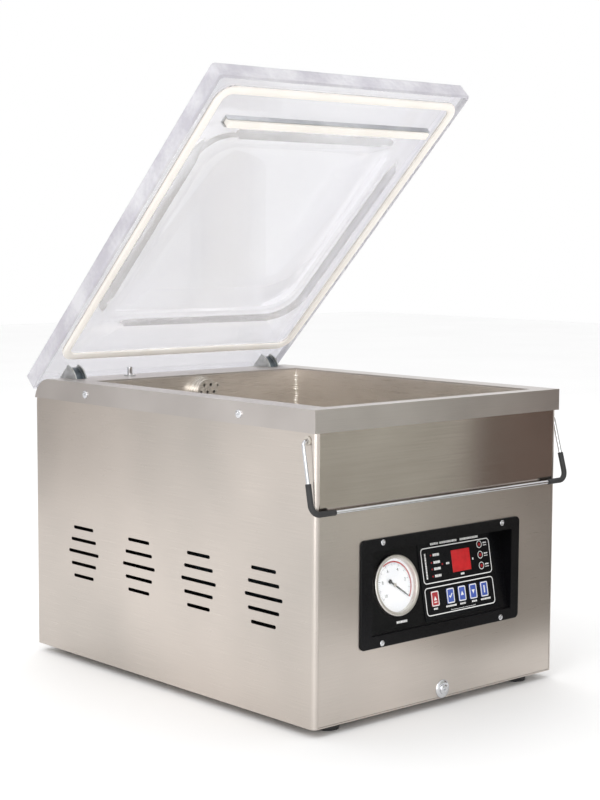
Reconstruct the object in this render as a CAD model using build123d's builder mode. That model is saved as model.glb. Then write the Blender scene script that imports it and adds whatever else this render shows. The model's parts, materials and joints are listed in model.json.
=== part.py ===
from build123d import *
from math import cos, hypot, radians, sin, sqrt
import os

os.makedirs("parts", exist_ok=True)

# Table-top chamber vacuum packer, lid open.  Millimetres, +Z up, the control panel looks to -Y.
# The origin is on the table, below the middle of the machine's outer box.

# ---------------------------------------------------------------- driving dimensions
# cabinet
BODY_WIDTH = 330
BODY_DEPTH = 440
FOOT_HEIGHT = 8
DECK_HEIGHT = 296
SHEET = 1.2                 # cabinet sheet
DECK_SHEET = 1.5            # deck and chamber sheet
SKIRT_DROP = 21             # the deck's rim hangs this far down the cabinet
SKIRT_GAP = 0.2             # between the rim and the cabinet sides
FRONT_BEND = 5              # radius of the cabinet's upright front corners
REAR_BEND = 27              # radius of the deck's rear edge
PANEL_GAP = 0.3             # play round the removable panels
SEAM_DROP = 95              # top of the service panel below the deck

# chamber
CHAMBER_SIDE = 24           # deck left beside the chamber
CHAMBER_FRONT = 14          # deck left in front of it
CHAMBER_REAR = 74           # deck left behind it, for the hinges
CHAMBER_DEPTH = 90

# lid
LID_OVERHANG_SIDE = 4.3     # closed lid beyond the cabinet
LID_OVERHANG_FRONT = 3.9
LID_REAR_INSET = 0.8        # closed lid short of the cabinet's rear face
LID_THICKNESS = 20
LID_GAP = 3                 # closed lid above the deck
LID_EDGE = 2                # chamfer round the slab's top and bottom
OPEN_ANGLE = 44.5
HINGE_INSET = 20            # hinge axis in front of the cabinet's rear face
HINGE_DROP = 8              # hinge axis below the deck's top
HINGE_SIDE = 29             # middle of each hinge in from the cabinet's side
HINGE_WIDTH = 14.5
HINGE_REACH = 23            # radius of the hinge's curved front
PIN_RADIUS = 2.5
RUNNING_FIT = 0.05          # radial play of every pin in its hole
CLEARANCE = 0.3             # between pieces that pass or press lightly

# wire bail
WIRE_RADIUS = 1.8
BAIL_SIDE_GAP = 4.7         # middle of each leg's foot beyond the lid's edge
BAIL_SPLAY = 3              # the legs' tops are this much further in
BAIL_PIVOT_BACK = 9.5       # from the cabinet's front face
BAIL_PIVOT_DROP = 28        # below the deck's top
BAIL_BAR_DROP = 92
BAIL_STANDOFF = 6           # bar in front of the cabinet's front face
GRIP_WALL = 0.9

# control panel
BEZEL_WIDTH = 218
BEZEL_HEIGHT = 102
BEZEL_DROP = 28             # below the seam
RECESS_LEFT = -95
RECESS_RIGHT = 97
RECESS_BORDER = 11.5        # bezel above and below the recess
RECESS_SHALLOW = 1.5        # depth at the recess's bottom edge
RECESS_DEEP = 16            # depth at its top edge

# ---------------------------------------------------------------- derived places
open_turn = radians(OPEN_ANGLE)
lid_under = DECK_HEIGHT + LID_GAP
hinge_height = DECK_HEIGHT - HINGE_DROP
hinge_offset = BODY_WIDTH / 2 - HINGE_SIDE
grip_radius = WIRE_RADIUS + GRIP_WALL

# The outer box runs from the bail's grips to the open lid's top rear edge, below its chamfer.
lid_tail = HINGE_INSET - LID_REAR_INSET
lid_rise = lid_under + LID_THICKNESS - hinge_height
rear_reach = BODY_DEPTH - HINGE_INSET + lid_tail * cos(open_turn) + (lid_rise - LID_EDGE) * sin(open_turn)
FRONT = (BAIL_STANDOFF + grip_radius - rear_reach) / 2     # Y of the cabinet's front face
REAR = FRONT + BODY_DEPTH
middle_y = FRONT + BODY_DEPTH / 2
hinge_y = REAR - HINGE_INSET

inside_rear = REAR - SHEET
seam_height = DECK_HEIGHT - SEAM_DROP
rim_outset = SKIRT_GAP + DECK_SHEET
rim_half = BODY_WIDTH / 2 + rim_outset
bail_pivot_height = DECK_HEIGHT - BAIL_PIVOT_DROP
bail_bar_height = DECK_HEIGHT - BAIL_BAR_DROP
bezel_top = seam_height - BEZEL_DROP
bezel_bottom = bezel_top - BEZEL_HEIGHT
recess_top = bezel_top - RECESS_BORDER
recess_bottom = bezel_bottom + RECESS_BORDER
deck_under = DECK_HEIGHT - DECK_SHEET
shell_top = deck_under - SKIRT_GAP
chamber_front = FRONT + CHAMBER_FRONT
chamber_rear = REAR - CHAMBER_REAR
chamber_middle = (chamber_front + chamber_rear) / 2
chamber_width = BODY_WIDTH - 2 * CHAMBER_SIDE
chamber_length = chamber_rear - chamber_front
chamber_floor = DECK_HEIGHT - CHAMBER_DEPTH
tub_rear = chamber_rear + DECK_SHEET


def level(z):
    """Horizontal plane: sketch x is X, sketch y is Y, extrudes upwards."""
    return Plane.XY.offset(z)


def facing(y):
    """Upright plane that looks to the front: sketch x is X, sketch y is Z, extrudes forwards."""
    return Plane((0, y, 0), x_dir=(1, 0, 0), z_dir=(0, -1, 0))


def section(x):
    """Upright plane across the machine: sketch x is Y, sketch y is Z, extrudes to the right."""
    return Plane((x, 0, 0), x_dir=(0, 1, 0), z_dir=(1, 0, 0))


def opened(x, y, z):
    """Where a point of the closed lid stands with the lid open."""
    back = y - hinge_y
    rise = z - hinge_height
    return (x, hinge_y + back * cos(open_turn) + rise * sin(open_turn),
            hinge_height - back * sin(open_turn) + rise * cos(open_turn))


lid_normal = (0, sin(open_turn), cos(open_turn))
lid_rearward = (0, cos(open_turn), -sin(open_turn))


def lid_level(z):
    """Horizontal plane of the closed lid, drawn in closed coordinates, standing open."""
    return Plane(opened(0, 0, z), x_dir=(1, 0, 0), z_dir=lid_normal)


def lid_section(x):
    """Upright plane across the closed lid, drawn in closed coordinates, standing open."""
    return Plane(opened(x, 0, 0), x_dir=lid_rearward, z_dir=(1, 0, 0))


# ================================================================ cabinet
FOOT_RADIUS = 12
FOOT_INSET_X = 35
FOOT_INSET_Y = 20
foot_spread_x = BODY_WIDTH - 2 * FOOT_INSET_X
foot_spread_y = BODY_DEPTH - 2 * FOOT_INSET_Y

with BuildPart() as feet:
    with BuildSketch(level(FOOT_HEIGHT)):
        with Locations((0, middle_y)):
            with GridLocations(foot_spread_x, foot_spread_y, 2, 2):
                Circle(FOOT_RADIUS)
    extrude(amount=-FOOT_HEIGHT, taper=6)
feet.part.label = "feet"
export_step(feet.part, "parts/feet.step")

# Side vents: four groups of five slots, longest in the middle row.
VENT_GROUP_FIRST = 69
VENT_GROUP_PITCH = 95.3
VENT_GROUPS = 4
VENT_LENGTHS = (35, 44, 53, 44, 35)
VENT_PITCH = 12.75
VENT_MIDDLE_DROP = 177.7     # middle row below the deck's top
VENT_HEIGHT = 3.5

RIM_SCREW_FRONT = 102       # front rim screw from the cabinet's front face
RIM_SCREW_REAR = 93         # rear one from its rear face
RIM_SCREW_DROP = 11.5
RIM_SCREW_RADIUS = 2
BUSH_RADIUS = 3.4
rim_screw_height = DECK_HEIGHT - RIM_SCREW_DROP
rim_screw_ys = (FRONT + RIM_SCREW_FRONT, REAR - RIM_SCREW_REAR)
shell_rear_bend = REAR_BEND - rim_outset - SKIRT_GAP

FRONT_WINDOW_HALF = BODY_WIDTH / 2 - FRONT_BEND
REAR_WINDOW_SIDE = 15       # wall left beside the rear window
REAR_WINDOW_BOTTOM = 20
REAR_WINDOW_DROP = 38       # top of the window below the deck
rear_window_half = BODY_WIDTH / 2 - REAR_WINDOW_SIDE
rear_window_top = DECK_HEIGHT - REAR_WINDOW_DROP

with BuildPart() as cabinet_shell:
    with BuildSketch(level(FOOT_HEIGHT)) as shell_outline:
        with Locations((0, middle_y)):
            Rectangle(BODY_WIDTH, BODY_DEPTH)
        fillet(shell_outline.vertices().group_by(Axis.Y)[0], FRONT_BEND)
    extrude(amount=shell_top - FOOT_HEIGHT)
    offset(amount=-SHEET, openings=cabinet_shell.faces().sort_by(Axis.Z)[-1])
    # the walls follow the deck's rounded rear edge
    with BuildSketch(section(0)) as shell_profile:
        with Locations((middle_y, shell_top / 2)):
            Rectangle(BODY_DEPTH, shell_top)
        fillet(shell_profile.vertices().group_by(Axis.X)[-1].sort_by(Axis.Y)[-1], shell_rear_bend)
    extrude(amount=BODY_WIDTH, both=True, mode=Mode.INTERSECT)
    # open front for the two front panels, window for the rear panel
    with BuildSketch(facing(FRONT)):
        with Locations((0, (FOOT_HEIGHT + SHEET + shell_top) / 2)):
            Rectangle(2 * FRONT_WINDOW_HALF, shell_top - FOOT_HEIGHT - SHEET)
    extrude(amount=2 * SHEET, both=True, mode=Mode.SUBTRACT)
    with BuildSketch(facing(REAR)):
        with Locations((0, (REAR_WINDOW_BOTTOM + rear_window_top) / 2)):
            Rectangle(2 * rear_window_half, rear_window_top - REAR_WINDOW_BOTTOM)
    extrude(amount=2 * SHEET, both=True, mode=Mode.SUBTRACT)
    with BuildSketch(section(0)):
        for group in range(VENT_GROUPS):
            for row, length in enumerate(VENT_LENGTHS):
                vent_y = FRONT + VENT_GROUP_FIRST + group * VENT_GROUP_PITCH
                vent_z = DECK_HEIGHT - VENT_MIDDLE_DROP + (2 - row) * VENT_PITCH
                with Locations((vent_y, vent_z)):
                    SlotOverall(length, VENT_HEIGHT)
        with Locations(*[(screw_y, rim_screw_height) for screw_y in rim_screw_ys]):
            Circle(RIM_SCREW_RADIUS + RUNNING_FIT)
        with Locations((FRONT + BAIL_PIVOT_BACK, bail_pivot_height)):
            Circle(BUSH_RADIUS)
    extrude(amount=BODY_WIDTH, both=True, mode=Mode.SUBTRACT)
cabinet_shell.part.label = "cabinet_shell"
export_step(cabinet_shell.part, "parts/cabinet_shell.step")

panel_half = FRONT_WINDOW_HALF - PANEL_GAP
PANEL_RETURN = 6            # bent edges of the front panels

with BuildPart() as upper_front_panel:
    with BuildSketch(level(seam_height + PANEL_GAP)):
        with Locations((0, FRONT + PANEL_RETURN / 2)):
            Rectangle(2 * panel_half, PANEL_RETURN)
        with Locations((0, FRONT + PANEL_RETURN / 2 + SHEET)):
            Rectangle(2 * (panel_half - SHEET), PANEL_RETURN, mode=Mode.SUBTRACT)
    extrude(amount=shell_top - seam_height - PANEL_GAP)
upper_front_panel.part.label = "upper_front_panel"
export_step(upper_front_panel.part, "parts/upper_front_panel.step")

# Recess of the control bezel: its floor leans back towards the top.
recess_height = recess_top - recess_bottom
recess_middle_x = (RECESS_LEFT + RECESS_RIGHT) / 2
recess_width = RECESS_RIGHT - RECESS_LEFT
bezel_middle_z = (bezel_bottom + bezel_top) / 2
BEZEL_SHEET = 2
cutout_margin = BEZEL_SHEET + PANEL_GAP

SERVICE_SCREW_HEIGHT = 17
SERVICE_SCREW_X = 2
SERVICE_SCREW_RADIUS = 2.5
CUP_WASHER_RADIUS = 9
service_panel_bottom = FOOT_HEIGHT + SHEET + PANEL_GAP

with BuildPart() as service_panel:
    with BuildSketch(level(service_panel_bottom)):
        with Locations((0, FRONT + PANEL_RETURN / 2)):
            Rectangle(2 * panel_half, PANEL_RETURN)
        with Locations((0, FRONT + PANEL_RETURN / 2 + SHEET)):
            Rectangle(2 * (panel_half - SHEET), PANEL_RETURN, mode=Mode.SUBTRACT)
    extrude(amount=seam_height - PANEL_GAP - service_panel_bottom)
    with BuildSketch(facing(FRONT)):
        with Locations((recess_middle_x, (recess_bottom + recess_top) / 2)):
            Rectangle(recess_width + 2 * cutout_margin, recess_height + 2 * cutout_margin)
        with Locations((SERVICE_SCREW_X, SERVICE_SCREW_HEIGHT)):
            Circle(SERVICE_SCREW_RADIUS + RUNNING_FIT)
    extrude(amount=2 * SHEET, both=True, mode=Mode.SUBTRACT)
service_panel.part.label = "service_panel"
export_step(service_panel.part, "parts/service_panel.step")

with BuildPart() as service_panel_screw:
    with BuildSketch(facing(FRONT)):
        with Locations((SERVICE_SCREW_X, SERVICE_SCREW_HEIGHT)):
            Circle(CUP_WASHER_RADIUS)
    extrude(amount=2, taper=40)
    with BuildSketch(facing(FRONT)):
        with Locations((SERVICE_SCREW_X, SERVICE_SCREW_HEIGHT)):
            Circle(5)
    extrude(amount=4.6)
    fillet(service_panel_screw.faces().sort_by(Axis.Y)[0].edges(), 1.8)
    with BuildSketch(facing(FRONT)):
        with Locations((SERVICE_SCREW_X, SERVICE_SCREW_HEIGHT)):
            Circle(SERVICE_SCREW_RADIUS)
    extrude(amount=-14)
service_panel_screw.part.label = "service_panel_screw"
export_step(service_panel_screw.part, "parts/service_panel_screw.step")

# ---------------------------------------------------------------- deck
SLOT_SIDE_PLAY = 0.9
SLOT_BACK = 16              # hinge slot behind the hinge axis
slot_width = HINGE_WIDTH + 2 * SLOT_SIDE_PLAY
slot_front = hinge_y - HINGE_REACH - 0.8
slot_rear = hinge_y + SLOT_BACK

LID_PIN_X = -73
LID_PIN_FROM_HINGE = 22     # in front of the hinge axis
LID_PIN_RADIUS = 3
LID_PIN_STANDING = 10       # pin above the deck, lid open
LID_PIN_BUSH = 5
lid_pin_y = hinge_y - LID_PIN_FROM_HINGE
DECK_PROFILE_DROP = 40      # deep enough for the whole rear bend

with BuildPart() as deck:
    with BuildSketch(section(-rim_half)) as deck_outside:
        with Locations((middle_y, DECK_HEIGHT - DECK_PROFILE_DROP / 2)):
            Rectangle(BODY_DEPTH + 2 * rim_outset, DECK_PROFILE_DROP)
        fillet(deck_outside.vertices().group_by(Axis.X)[-1].sort_by(Axis.Y)[-1], REAR_BEND)
    extrude(amount=2 * rim_half)
    with BuildSketch(section(-rim_half + DECK_SHEET)) as deck_inside:
        with Locations((middle_y, deck_under - DECK_PROFILE_DROP / 2)):
            Rectangle(BODY_DEPTH + 2 * SKIRT_GAP, DECK_PROFILE_DROP)
        fillet(deck_inside.vertices().group_by(Axis.X)[-1].sort_by(Axis.Y)[-1], REAR_BEND - DECK_SHEET)
    extrude(amount=2 * (rim_half - DECK_SHEET), mode=Mode.SUBTRACT)
    split(bisect_by=level(DECK_HEIGHT - SKIRT_DROP), keep=Keep.TOP)
    with BuildSketch(level(DECK_HEIGHT)):
        with Locations((0, chamber_middle)):
            Rectangle(chamber_width, chamber_length)
        with Locations((-hinge_offset, (slot_front + slot_rear) / 2),
                       (hinge_offset, (slot_front + slot_rear) / 2)):
            Rectangle(slot_width, slot_rear - slot_front)
        with Locations((LID_PIN_X, lid_pin_y)):
            Circle(LID_PIN_BUSH)
    extrude(amount=-REAR_BEND, mode=Mode.SUBTRACT)
    with BuildSketch(section(0)):
        with Locations(*[(screw_y, rim_screw_height) for screw_y in rim_screw_ys]):
            Circle(RIM_SCREW_RADIUS + RUNNING_FIT)
    extrude(amount=BODY_WIDTH, both=True, mode=Mode.SUBTRACT)
deck.part.label = "deck"
export_step(deck.part, "parts/deck.step")

SCREW_HEAD_RADIUS = 4
SCREW_HEAD_HEIGHT = 2.2
RIM_SCREW_LENGTH = 9


def rim_screw(side):
    """One rim screw of the right (1) or left (-1) side, at both places along it."""
    outside = side * rim_half
    with BuildPart() as screw:
        for screw_y in rim_screw_ys:
            spot = Plane((outside, screw_y, rim_screw_height), z_dir=(side, 0, 0))
            with BuildSketch(spot):
                Circle(SCREW_HEAD_RADIUS)
            extrude(amount=SCREW_HEAD_HEIGHT, taper=25)
            with BuildSketch(spot):
                Circle(RIM_SCREW_RADIUS)
            extrude(amount=-RIM_SCREW_LENGTH)
    return screw.part


with BuildPart() as rim_screws:
    add(rim_screw(-1))
    add(rim_screw(1))
rim_screws.part.label = "rim_screws"
export_step(rim_screws.part, "parts/rim_screws.step")

# ---------------------------------------------------------------- chamber
STRAINER_DROP = 19          # centre below the deck's top
STRAINER_RADIUS = 17
STRAINER_STEM = 7
VENT_NOZZLE_X = 20
VENT_NOZZLE_DROP = 13
VENT_NOZZLE_RADIUS = 3
strainer_height = DECK_HEIGHT - STRAINER_DROP
vent_nozzle_height = DECK_HEIGHT - VENT_NOZZLE_DROP

with BuildPart() as chamber_tub:
    with BuildSketch(level(chamber_floor - DECK_SHEET)):
        with Locations((0, chamber_middle)):
            Rectangle(chamber_width + 2 * DECK_SHEET, chamber_length + 2 * DECK_SHEET)
    extrude(amount=deck_under - chamber_floor + DECK_SHEET)
    offset(amount=-DECK_SHEET, openings=chamber_tub.faces().sort_by(Axis.Z)[-1])
    with BuildSketch(facing(tub_rear)):
        with Locations((0, strainer_height)):
            Circle(STRAINER_STEM + RUNNING_FIT)
        with Locations((VENT_NOZZLE_X, vent_nozzle_height)):
            Circle(VENT_NOZZLE_RADIUS + RUNNING_FIT)
    extrude(amount=2 * DECK_SHEET, both=True, mode=Mode.SUBTRACT)
chamber_tub.part.label = "chamber_tub"
export_step(chamber_tub.part, "parts/chamber_tub.step")

STRAINER_STEPS = ((STRAINER_RADIUS, 4), (15.5, 8), (14, 12))   # radius, how far it stands out
STRAINER_CAVITY = 11
STRAINER_CAVITY_DEPTH = 9
STRAINER_HOLE = 1.75
STRAINER_HOLE_CIRCLE = 9
STEM_REACH = 18
STRAINER_BACK = 1.5
STEM_BORE = 5

with BuildPart() as suction_strainer:
    for radius, reach in STRAINER_STEPS:
        with BuildSketch(facing(chamber_rear)):
            with Locations((0, strainer_height)):
                Circle(radius)
        extrude(amount=reach)
    with BuildSketch(facing(chamber_rear)):
        with Locations((0, strainer_height)):
            Circle(STRAINER_STEM)
    extrude(amount=-STEM_REACH)
    with BuildSketch(facing(chamber_rear - STRAINER_BACK)):
        with Locations((0, strainer_height)):
            Circle(STRAINER_CAVITY)
    extrude(amount=STRAINER_CAVITY_DEPTH - STRAINER_BACK, mode=Mode.SUBTRACT)
    with BuildSketch(facing(chamber_rear - STRAINER_BACK)):
        with Locations((0, strainer_height)):
            Circle(STEM_BORE)
    extrude(amount=-(STEM_REACH + STRAINER_BACK), mode=Mode.SUBTRACT)
    with BuildSketch(facing(chamber_rear)):
        with Locations((0, strainer_height)):
            Circle(STRAINER_HOLE)
            with PolarLocations(STRAINER_HOLE_CIRCLE, 6):
                Circle(STRAINER_HOLE)
    extrude(amount=STRAINER_STEPS[-1][1], mode=Mode.SUBTRACT)
suction_strainer.part.label = "suction_strainer"
export_step(suction_strainer.part, "parts/suction_strainer.step")

with BuildPart() as vent_nozzle:
    with BuildSketch(facing(chamber_rear - 5)):
        with Locations((VENT_NOZZLE_X, vent_nozzle_height)):
            Circle(VENT_NOZZLE_RADIUS)
            Circle(1.2, mode=Mode.SUBTRACT)
    extrude(amount=-20)
vent_nozzle.part.label = "vent_nozzle"
export_step(vent_nozzle.part, "parts/vent_nozzle.step")

# ---------------------------------------------------------------- sealing bar
SEAL_BACK = 46.7            # middle of the bar from the cabinet's front face
SEAL_END_GAP = 9            # between the bar and the chamber's sides
SEAL_WIDTH = 16
SEAL_HEIGHT = 18
SEAL_TRAVEL = 12
BACKING_WIDTH = 10
BACKING_HEIGHT = 2
ELEMENT_WIDTH = 4
ELEMENT_HEIGHT = 0.4
TAPE = 0.3
PAD_DROP = 9                # counter pad below the lid
LIFT_ROD_INSET = 37         # rods in from the bar's ends
LIFT_ROD_RADIUS = 6
LIFT_CYLINDER_RADIUS = 13
LIFT_CYLINDER_HEIGHT = 32
CYLINDER_FLOOR = 2

seal_y = FRONT + SEAL_BACK
seal_length = chamber_width - 2 * SEAL_END_GAP
lift_rod_spread = seal_length - 2 * LIFT_ROD_INSET
pad_bottom = lid_under - PAD_DROP
seal_top = pad_bottom - CLEARANCE - SEAL_TRAVEL
element_bottom = seal_top - TAPE - ELEMENT_HEIGHT
seal_bar_top = element_bottom - BACKING_HEIGHT
seal_bar_bottom = seal_bar_top - SEAL_HEIGHT
rod_bottom = chamber_floor + CYLINDER_FLOOR + 4

with BuildPart() as seal_bar:
    with BuildSketch(level(seal_bar_bottom)):
        with Locations((0, seal_y)):
            Rectangle(seal_length, SEAL_WIDTH)
    extrude(amount=SEAL_HEIGHT)
    fillet(seal_bar.edges().filter_by(Axis.X).group_by(Axis.Z)[-1], 2)
    with BuildSketch(level(seal_bar_bottom)):
        with Locations((0, seal_y)):
            with GridLocations(lift_rod_spread, 1, 2, 1):
                Circle(LIFT_ROD_RADIUS)
    extrude(amount=8, mode=Mode.SUBTRACT)
seal_bar.part.label = "seal_bar"
export_step(seal_bar.part, "parts/seal_bar.step")

with BuildPart() as seal_backing_strip:
    with BuildSketch(level(seal_bar_top)):
        with Locations((0, seal_y)):
            Rectangle(seal_length, BACKING_WIDTH)
    extrude(amount=BACKING_HEIGHT)
seal_backing_strip.part.label = "seal_backing_strip"
export_step(seal_backing_strip.part, "parts/seal_backing_strip.step")

with BuildPart() as heating_element:
    with BuildSketch(level(element_bottom)):
        with Locations((0, seal_y)):
            Rectangle(seal_length, ELEMENT_WIDTH)
    extrude(amount=ELEMENT_HEIGHT)
heating_element.part.label = "heating_element"
export_step(heating_element.part, "parts/heating_element.step")

with BuildPart() as seal_tape:
    with BuildSketch(level(element_bottom + ELEMENT_HEIGHT)):
        with Locations((0, seal_y)):
            Rectangle(seal_length - 6, BACKING_WIDTH)
    extrude(amount=TAPE)
    with BuildSketch(level(seal_bar_top)):
        with Locations((0, seal_y)):
            Rectangle(seal_length - 6, BACKING_WIDTH + 2 * TAPE)
            Rectangle(seal_length - 6, BACKING_WIDTH, mode=Mode.SUBTRACT)
    extrude(amount=seal_top - seal_bar_top)
seal_tape.part.label = "seal_tape"
export_step(seal_tape.part, "parts/seal_tape.step")

with BuildPart() as seal_lift_rods:
    with BuildSketch(level(rod_bottom)):
        with Locations((0, seal_y)):
            with GridLocations(lift_rod_spread, 1, 2, 1):
                Circle(LIFT_ROD_RADIUS)
    extrude(amount=seal_bar_bottom + 8 - rod_bottom)
seal_lift_rods.part.label = "seal_lift_rods"
export_step(seal_lift_rods.part, "parts/seal_lift_rods.step")

with BuildPart() as seal_lift_cylinders:
    with BuildSketch(level(chamber_floor)):
        with Locations((0, seal_y)):
            with GridLocations(lift_rod_spread, 1, 2, 1):
                Circle(LIFT_CYLINDER_RADIUS)
    extrude(amount=LIFT_CYLINDER_HEIGHT)
    with BuildSketch(level(chamber_floor + CYLINDER_FLOOR)):
        with Locations((0, seal_y)):
            with GridLocations(lift_rod_spread, 1, 2, 1):
                Circle(LIFT_ROD_RADIUS + RUNNING_FIT)
    extrude(amount=LIFT_CYLINDER_HEIGHT, mode=Mode.SUBTRACT)
seal_lift_cylinders.part.label = "seal_lift_cylinders"
export_step(seal_lift_cylinders.part, "parts/seal_lift_cylinders.step")

FILLER_THICKNESS = 10
FILLER_GAP = 6              # play round the filler plate

with BuildPart() as filler_plate:
    filler_front = seal_y + LIFT_CYLINDER_RADIUS + FILLER_GAP
    filler_rear = chamber_rear - FILLER_GAP
    with BuildSketch(level(chamber_floor)):
        with Locations((0, (filler_front + filler_rear) / 2)):
            RectangleRounded(chamber_width - 2 * FILLER_GAP, filler_rear - filler_front, 8)
    extrude(amount=FILLER_THICKNESS)
    chamfer(filler_plate.faces().sort_by(Axis.Z)[-1].edges(), 1)
filler_plate.part.label = "filler_plate"
export_step(filler_plate.part, "parts/filler_plate.step")

# ================================================================ lid
GASKET_WIDTH = 9
GASKET_GROOVE = 3
GASKET_SIDE = 12.5          # middle of the gasket from the lid's side edges
GASKET_FRONT = 15           # and from its front edge
GASKET_REAR = 54            # and from its rear edge
GASKET_CORNER = 14
DOME_SIDE = 32              # mouth of the dome from the lid's side edges
DOME_FRONT = 75
DOME_REAR = 99
DOME_CORNER = 38
DOME_DEPTH = 18
DOME_DRAFT = 5
DOME_SHOULDER = 7
DOME_RISE = 13              # outside of the dome above the lid's top
DOME_SKIN = 10              # the outside is this much larger all round
LID_CORNER = 4

lid_width = BODY_WIDTH + 2 * LID_OVERHANG_SIDE
lid_rear = REAR - LID_REAR_INSET
lid_front = FRONT - LID_OVERHANG_FRONT
lid_length = lid_rear - lid_front
lid_middle = (lid_front + lid_rear) / 2
lid_top = lid_under + LID_THICKNESS
gasket_front = lid_front + GASKET_FRONT
gasket_rear = lid_rear - GASKET_REAR
gasket_middle = (gasket_front + gasket_rear) / 2
gasket_run_x = lid_width - 2 * GASKET_SIDE
gasket_run_y = gasket_rear - gasket_front
gasket_drop = LID_GAP - CLEARANCE
dome_middle = (lid_front + DOME_FRONT + lid_rear - DOME_REAR) / 2
dome_width = lid_width - 2 * DOME_SIDE
dome_length = lid_length - DOME_FRONT - DOME_REAR

LID_SCREW_RADIUS = 2
LID_SCREW_DEPTH = 12
LID_SCREW_BACKS = (-11, 6)  # from the hinge axis
lid_screw_spots = [(side * hinge_offset, hinge_y + back) for side in (-1, 1) for back in LID_SCREW_BACKS]

with BuildPart() as dome_hollow:
    with BuildSketch(lid_level(lid_under)):
        with Locations((0, dome_middle)):
            RectangleRounded(dome_width, dome_length, DOME_CORNER)
    extrude(amount=DOME_DEPTH, taper=DOME_DRAFT)
    fillet(dome_hollow.faces().sort_by(Axis(opened(0, 0, 0), lid_normal))[-1].edges(), DOME_SHOULDER)

with BuildPart() as lid_slab:
    with BuildSketch(lid_level(lid_under)):
        with Locations((0, lid_middle)):
            RectangleRounded(lid_width, lid_length, LID_CORNER)
    extrude(amount=LID_THICKNESS)
    slab_faces = lid_slab.faces().sort_by(Axis(opened(0, 0, 0), lid_normal))
    chamfer(slab_faces[0].edges() + slab_faces[-1].edges(), LID_EDGE)
    with BuildSketch(lid_level(lid_top)):
        with Locations((0, dome_middle)):
            RectangleRounded(dome_width + 2 * DOME_SKIN, dome_length + 2 * DOME_SKIN, DOME_CORNER + DOME_SKIN)
    extrude(amount=DOME_RISE, taper=35)
    fillet(lid_slab.faces().sort_by(Axis(opened(0, 0, 0), lid_normal))[-1].edges(), DOME_SHOULDER)
    add(dome_hollow.part, mode=Mode.SUBTRACT)
    # groove of the gasket
    with BuildSketch(lid_level(lid_under)):
        with Locations((0, gasket_middle)):
            RectangleRounded(gasket_run_x + GASKET_WIDTH, gasket_run_y + GASKET_WIDTH,
                             GASKET_CORNER + GASKET_WIDTH / 2)
            RectangleRounded(gasket_run_x - GASKET_WIDTH, gasket_run_y - GASKET_WIDTH,
                             GASKET_CORNER - GASKET_WIDTH / 2, mode=Mode.SUBTRACT)
    extrude(amount=GASKET_GROOVE, mode=Mode.SUBTRACT)
    with BuildSketch(lid_level(lid_under)):
        with Locations(*lid_screw_spots):
            Circle(LID_SCREW_RADIUS)
    extrude(amount=LID_SCREW_DEPTH, mode=Mode.SUBTRACT)
lid_slab.part.label = "lid_slab"
export_step(lid_slab.part, "parts/lid_slab.step")

with BuildPart() as lid_gasket:
    with BuildSketch(lid_level(lid_under - gasket_drop)):
        with Locations((0, gasket_middle)):
            RectangleRounded(gasket_run_x + GASKET_WIDTH, gasket_run_y + GASKET_WIDTH,
                             GASKET_CORNER + GASKET_WIDTH / 2)
            RectangleRounded(gasket_run_x - GASKET_WIDTH, gasket_run_y - GASKET_WIDTH,
                             GASKET_CORNER - GASKET_WIDTH / 2, mode=Mode.SUBTRACT)
    extrude(amount=gasket_drop + GASKET_GROOVE)
lid_gasket.part.label = "lid_gasket"
export_step(lid_gasket.part, "parts/lid_gasket.step")

HOLDER_END_GAP = 4          # between the holder and the chamber's sides
HOLDER_WIDTH = 10
HOLDER_HEIGHT = 6
HOLDER_WALL = 1.2
PAD_INSET = 2               # pad short of the holder at each end
holder_length = chamber_width - 2 * HOLDER_END_GAP
pad_length = holder_length - 2 * PAD_INSET

with BuildPart() as counter_bar_holder:
    with BuildSketch(lid_level(lid_under)):
        with Locations((0, seal_y)):
            Rectangle(holder_length, HOLDER_WIDTH)
    extrude(amount=-HOLDER_HEIGHT)
    with BuildSketch(lid_level(lid_under - HOLDER_WALL)):
        with Locations((0, seal_y)):
            Rectangle(holder_length, HOLDER_WIDTH - 2 * HOLDER_WALL)
    extrude(amount=-HOLDER_HEIGHT, mode=Mode.SUBTRACT)
counter_bar_holder.part.label = "counter_bar_holder"
export_step(counter_bar_holder.part, "parts/counter_bar_holder.step")

with BuildPart() as counter_bar_pad:
    with BuildSketch(lid_level(pad_bottom)):
        with Locations((0, seal_y)):
            Rectangle(pad_length, HOLDER_WIDTH - 2 * HOLDER_WALL)
    extrude(amount=PAD_DROP - HOLDER_WALL)
counter_bar_pad.part.label = "counter_bar_pad"
export_step(counter_bar_pad.part, "parts/counter_bar_pad.step")

# ---------------------------------------------------------------- hinges
CHEEK = 1.6
WEB = 2
WEB_RADIUS = 19
SECTOR_BELOW = 35           # degrees of the curved front below the axis, lid closed
HUB_RADIUS = 5
FLANGE = 2
FLANGE_REAR = 9
flange_bottom = lid_under - FLANGE
flange_rise = lid_under - hinge_height


def sector_point(radius, angle):
    """Point on the hinge's curved front, closed lid, angle in degrees above the forward line."""
    return (hinge_y - radius * cos(radians(angle)), hinge_height + radius * sin(radians(angle)))


def chord_point(radius):
    """Where that radius meets the lid's underside, closed lid."""
    return (hinge_y - sqrt(radius**2 - flange_rise**2), lid_under)


def sector_outline(radius):
    """Edges from the lid's underside down the curved front and back to the hub."""
    with BuildLine() as outline:
        lowest = sector_point(radius, -SECTOR_BELOW)
        front = ThreePointArc(chord_point(radius), sector_point(radius, 0), lowest)
        Polyline(front @ 1, (hinge_y, hinge_height - HUB_RADIUS), (hinge_y + HUB_RADIUS, hinge_height),
                 (hinge_y + FLANGE_REAR, lid_under), front @ 0)
    return outline.line.edges()


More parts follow.
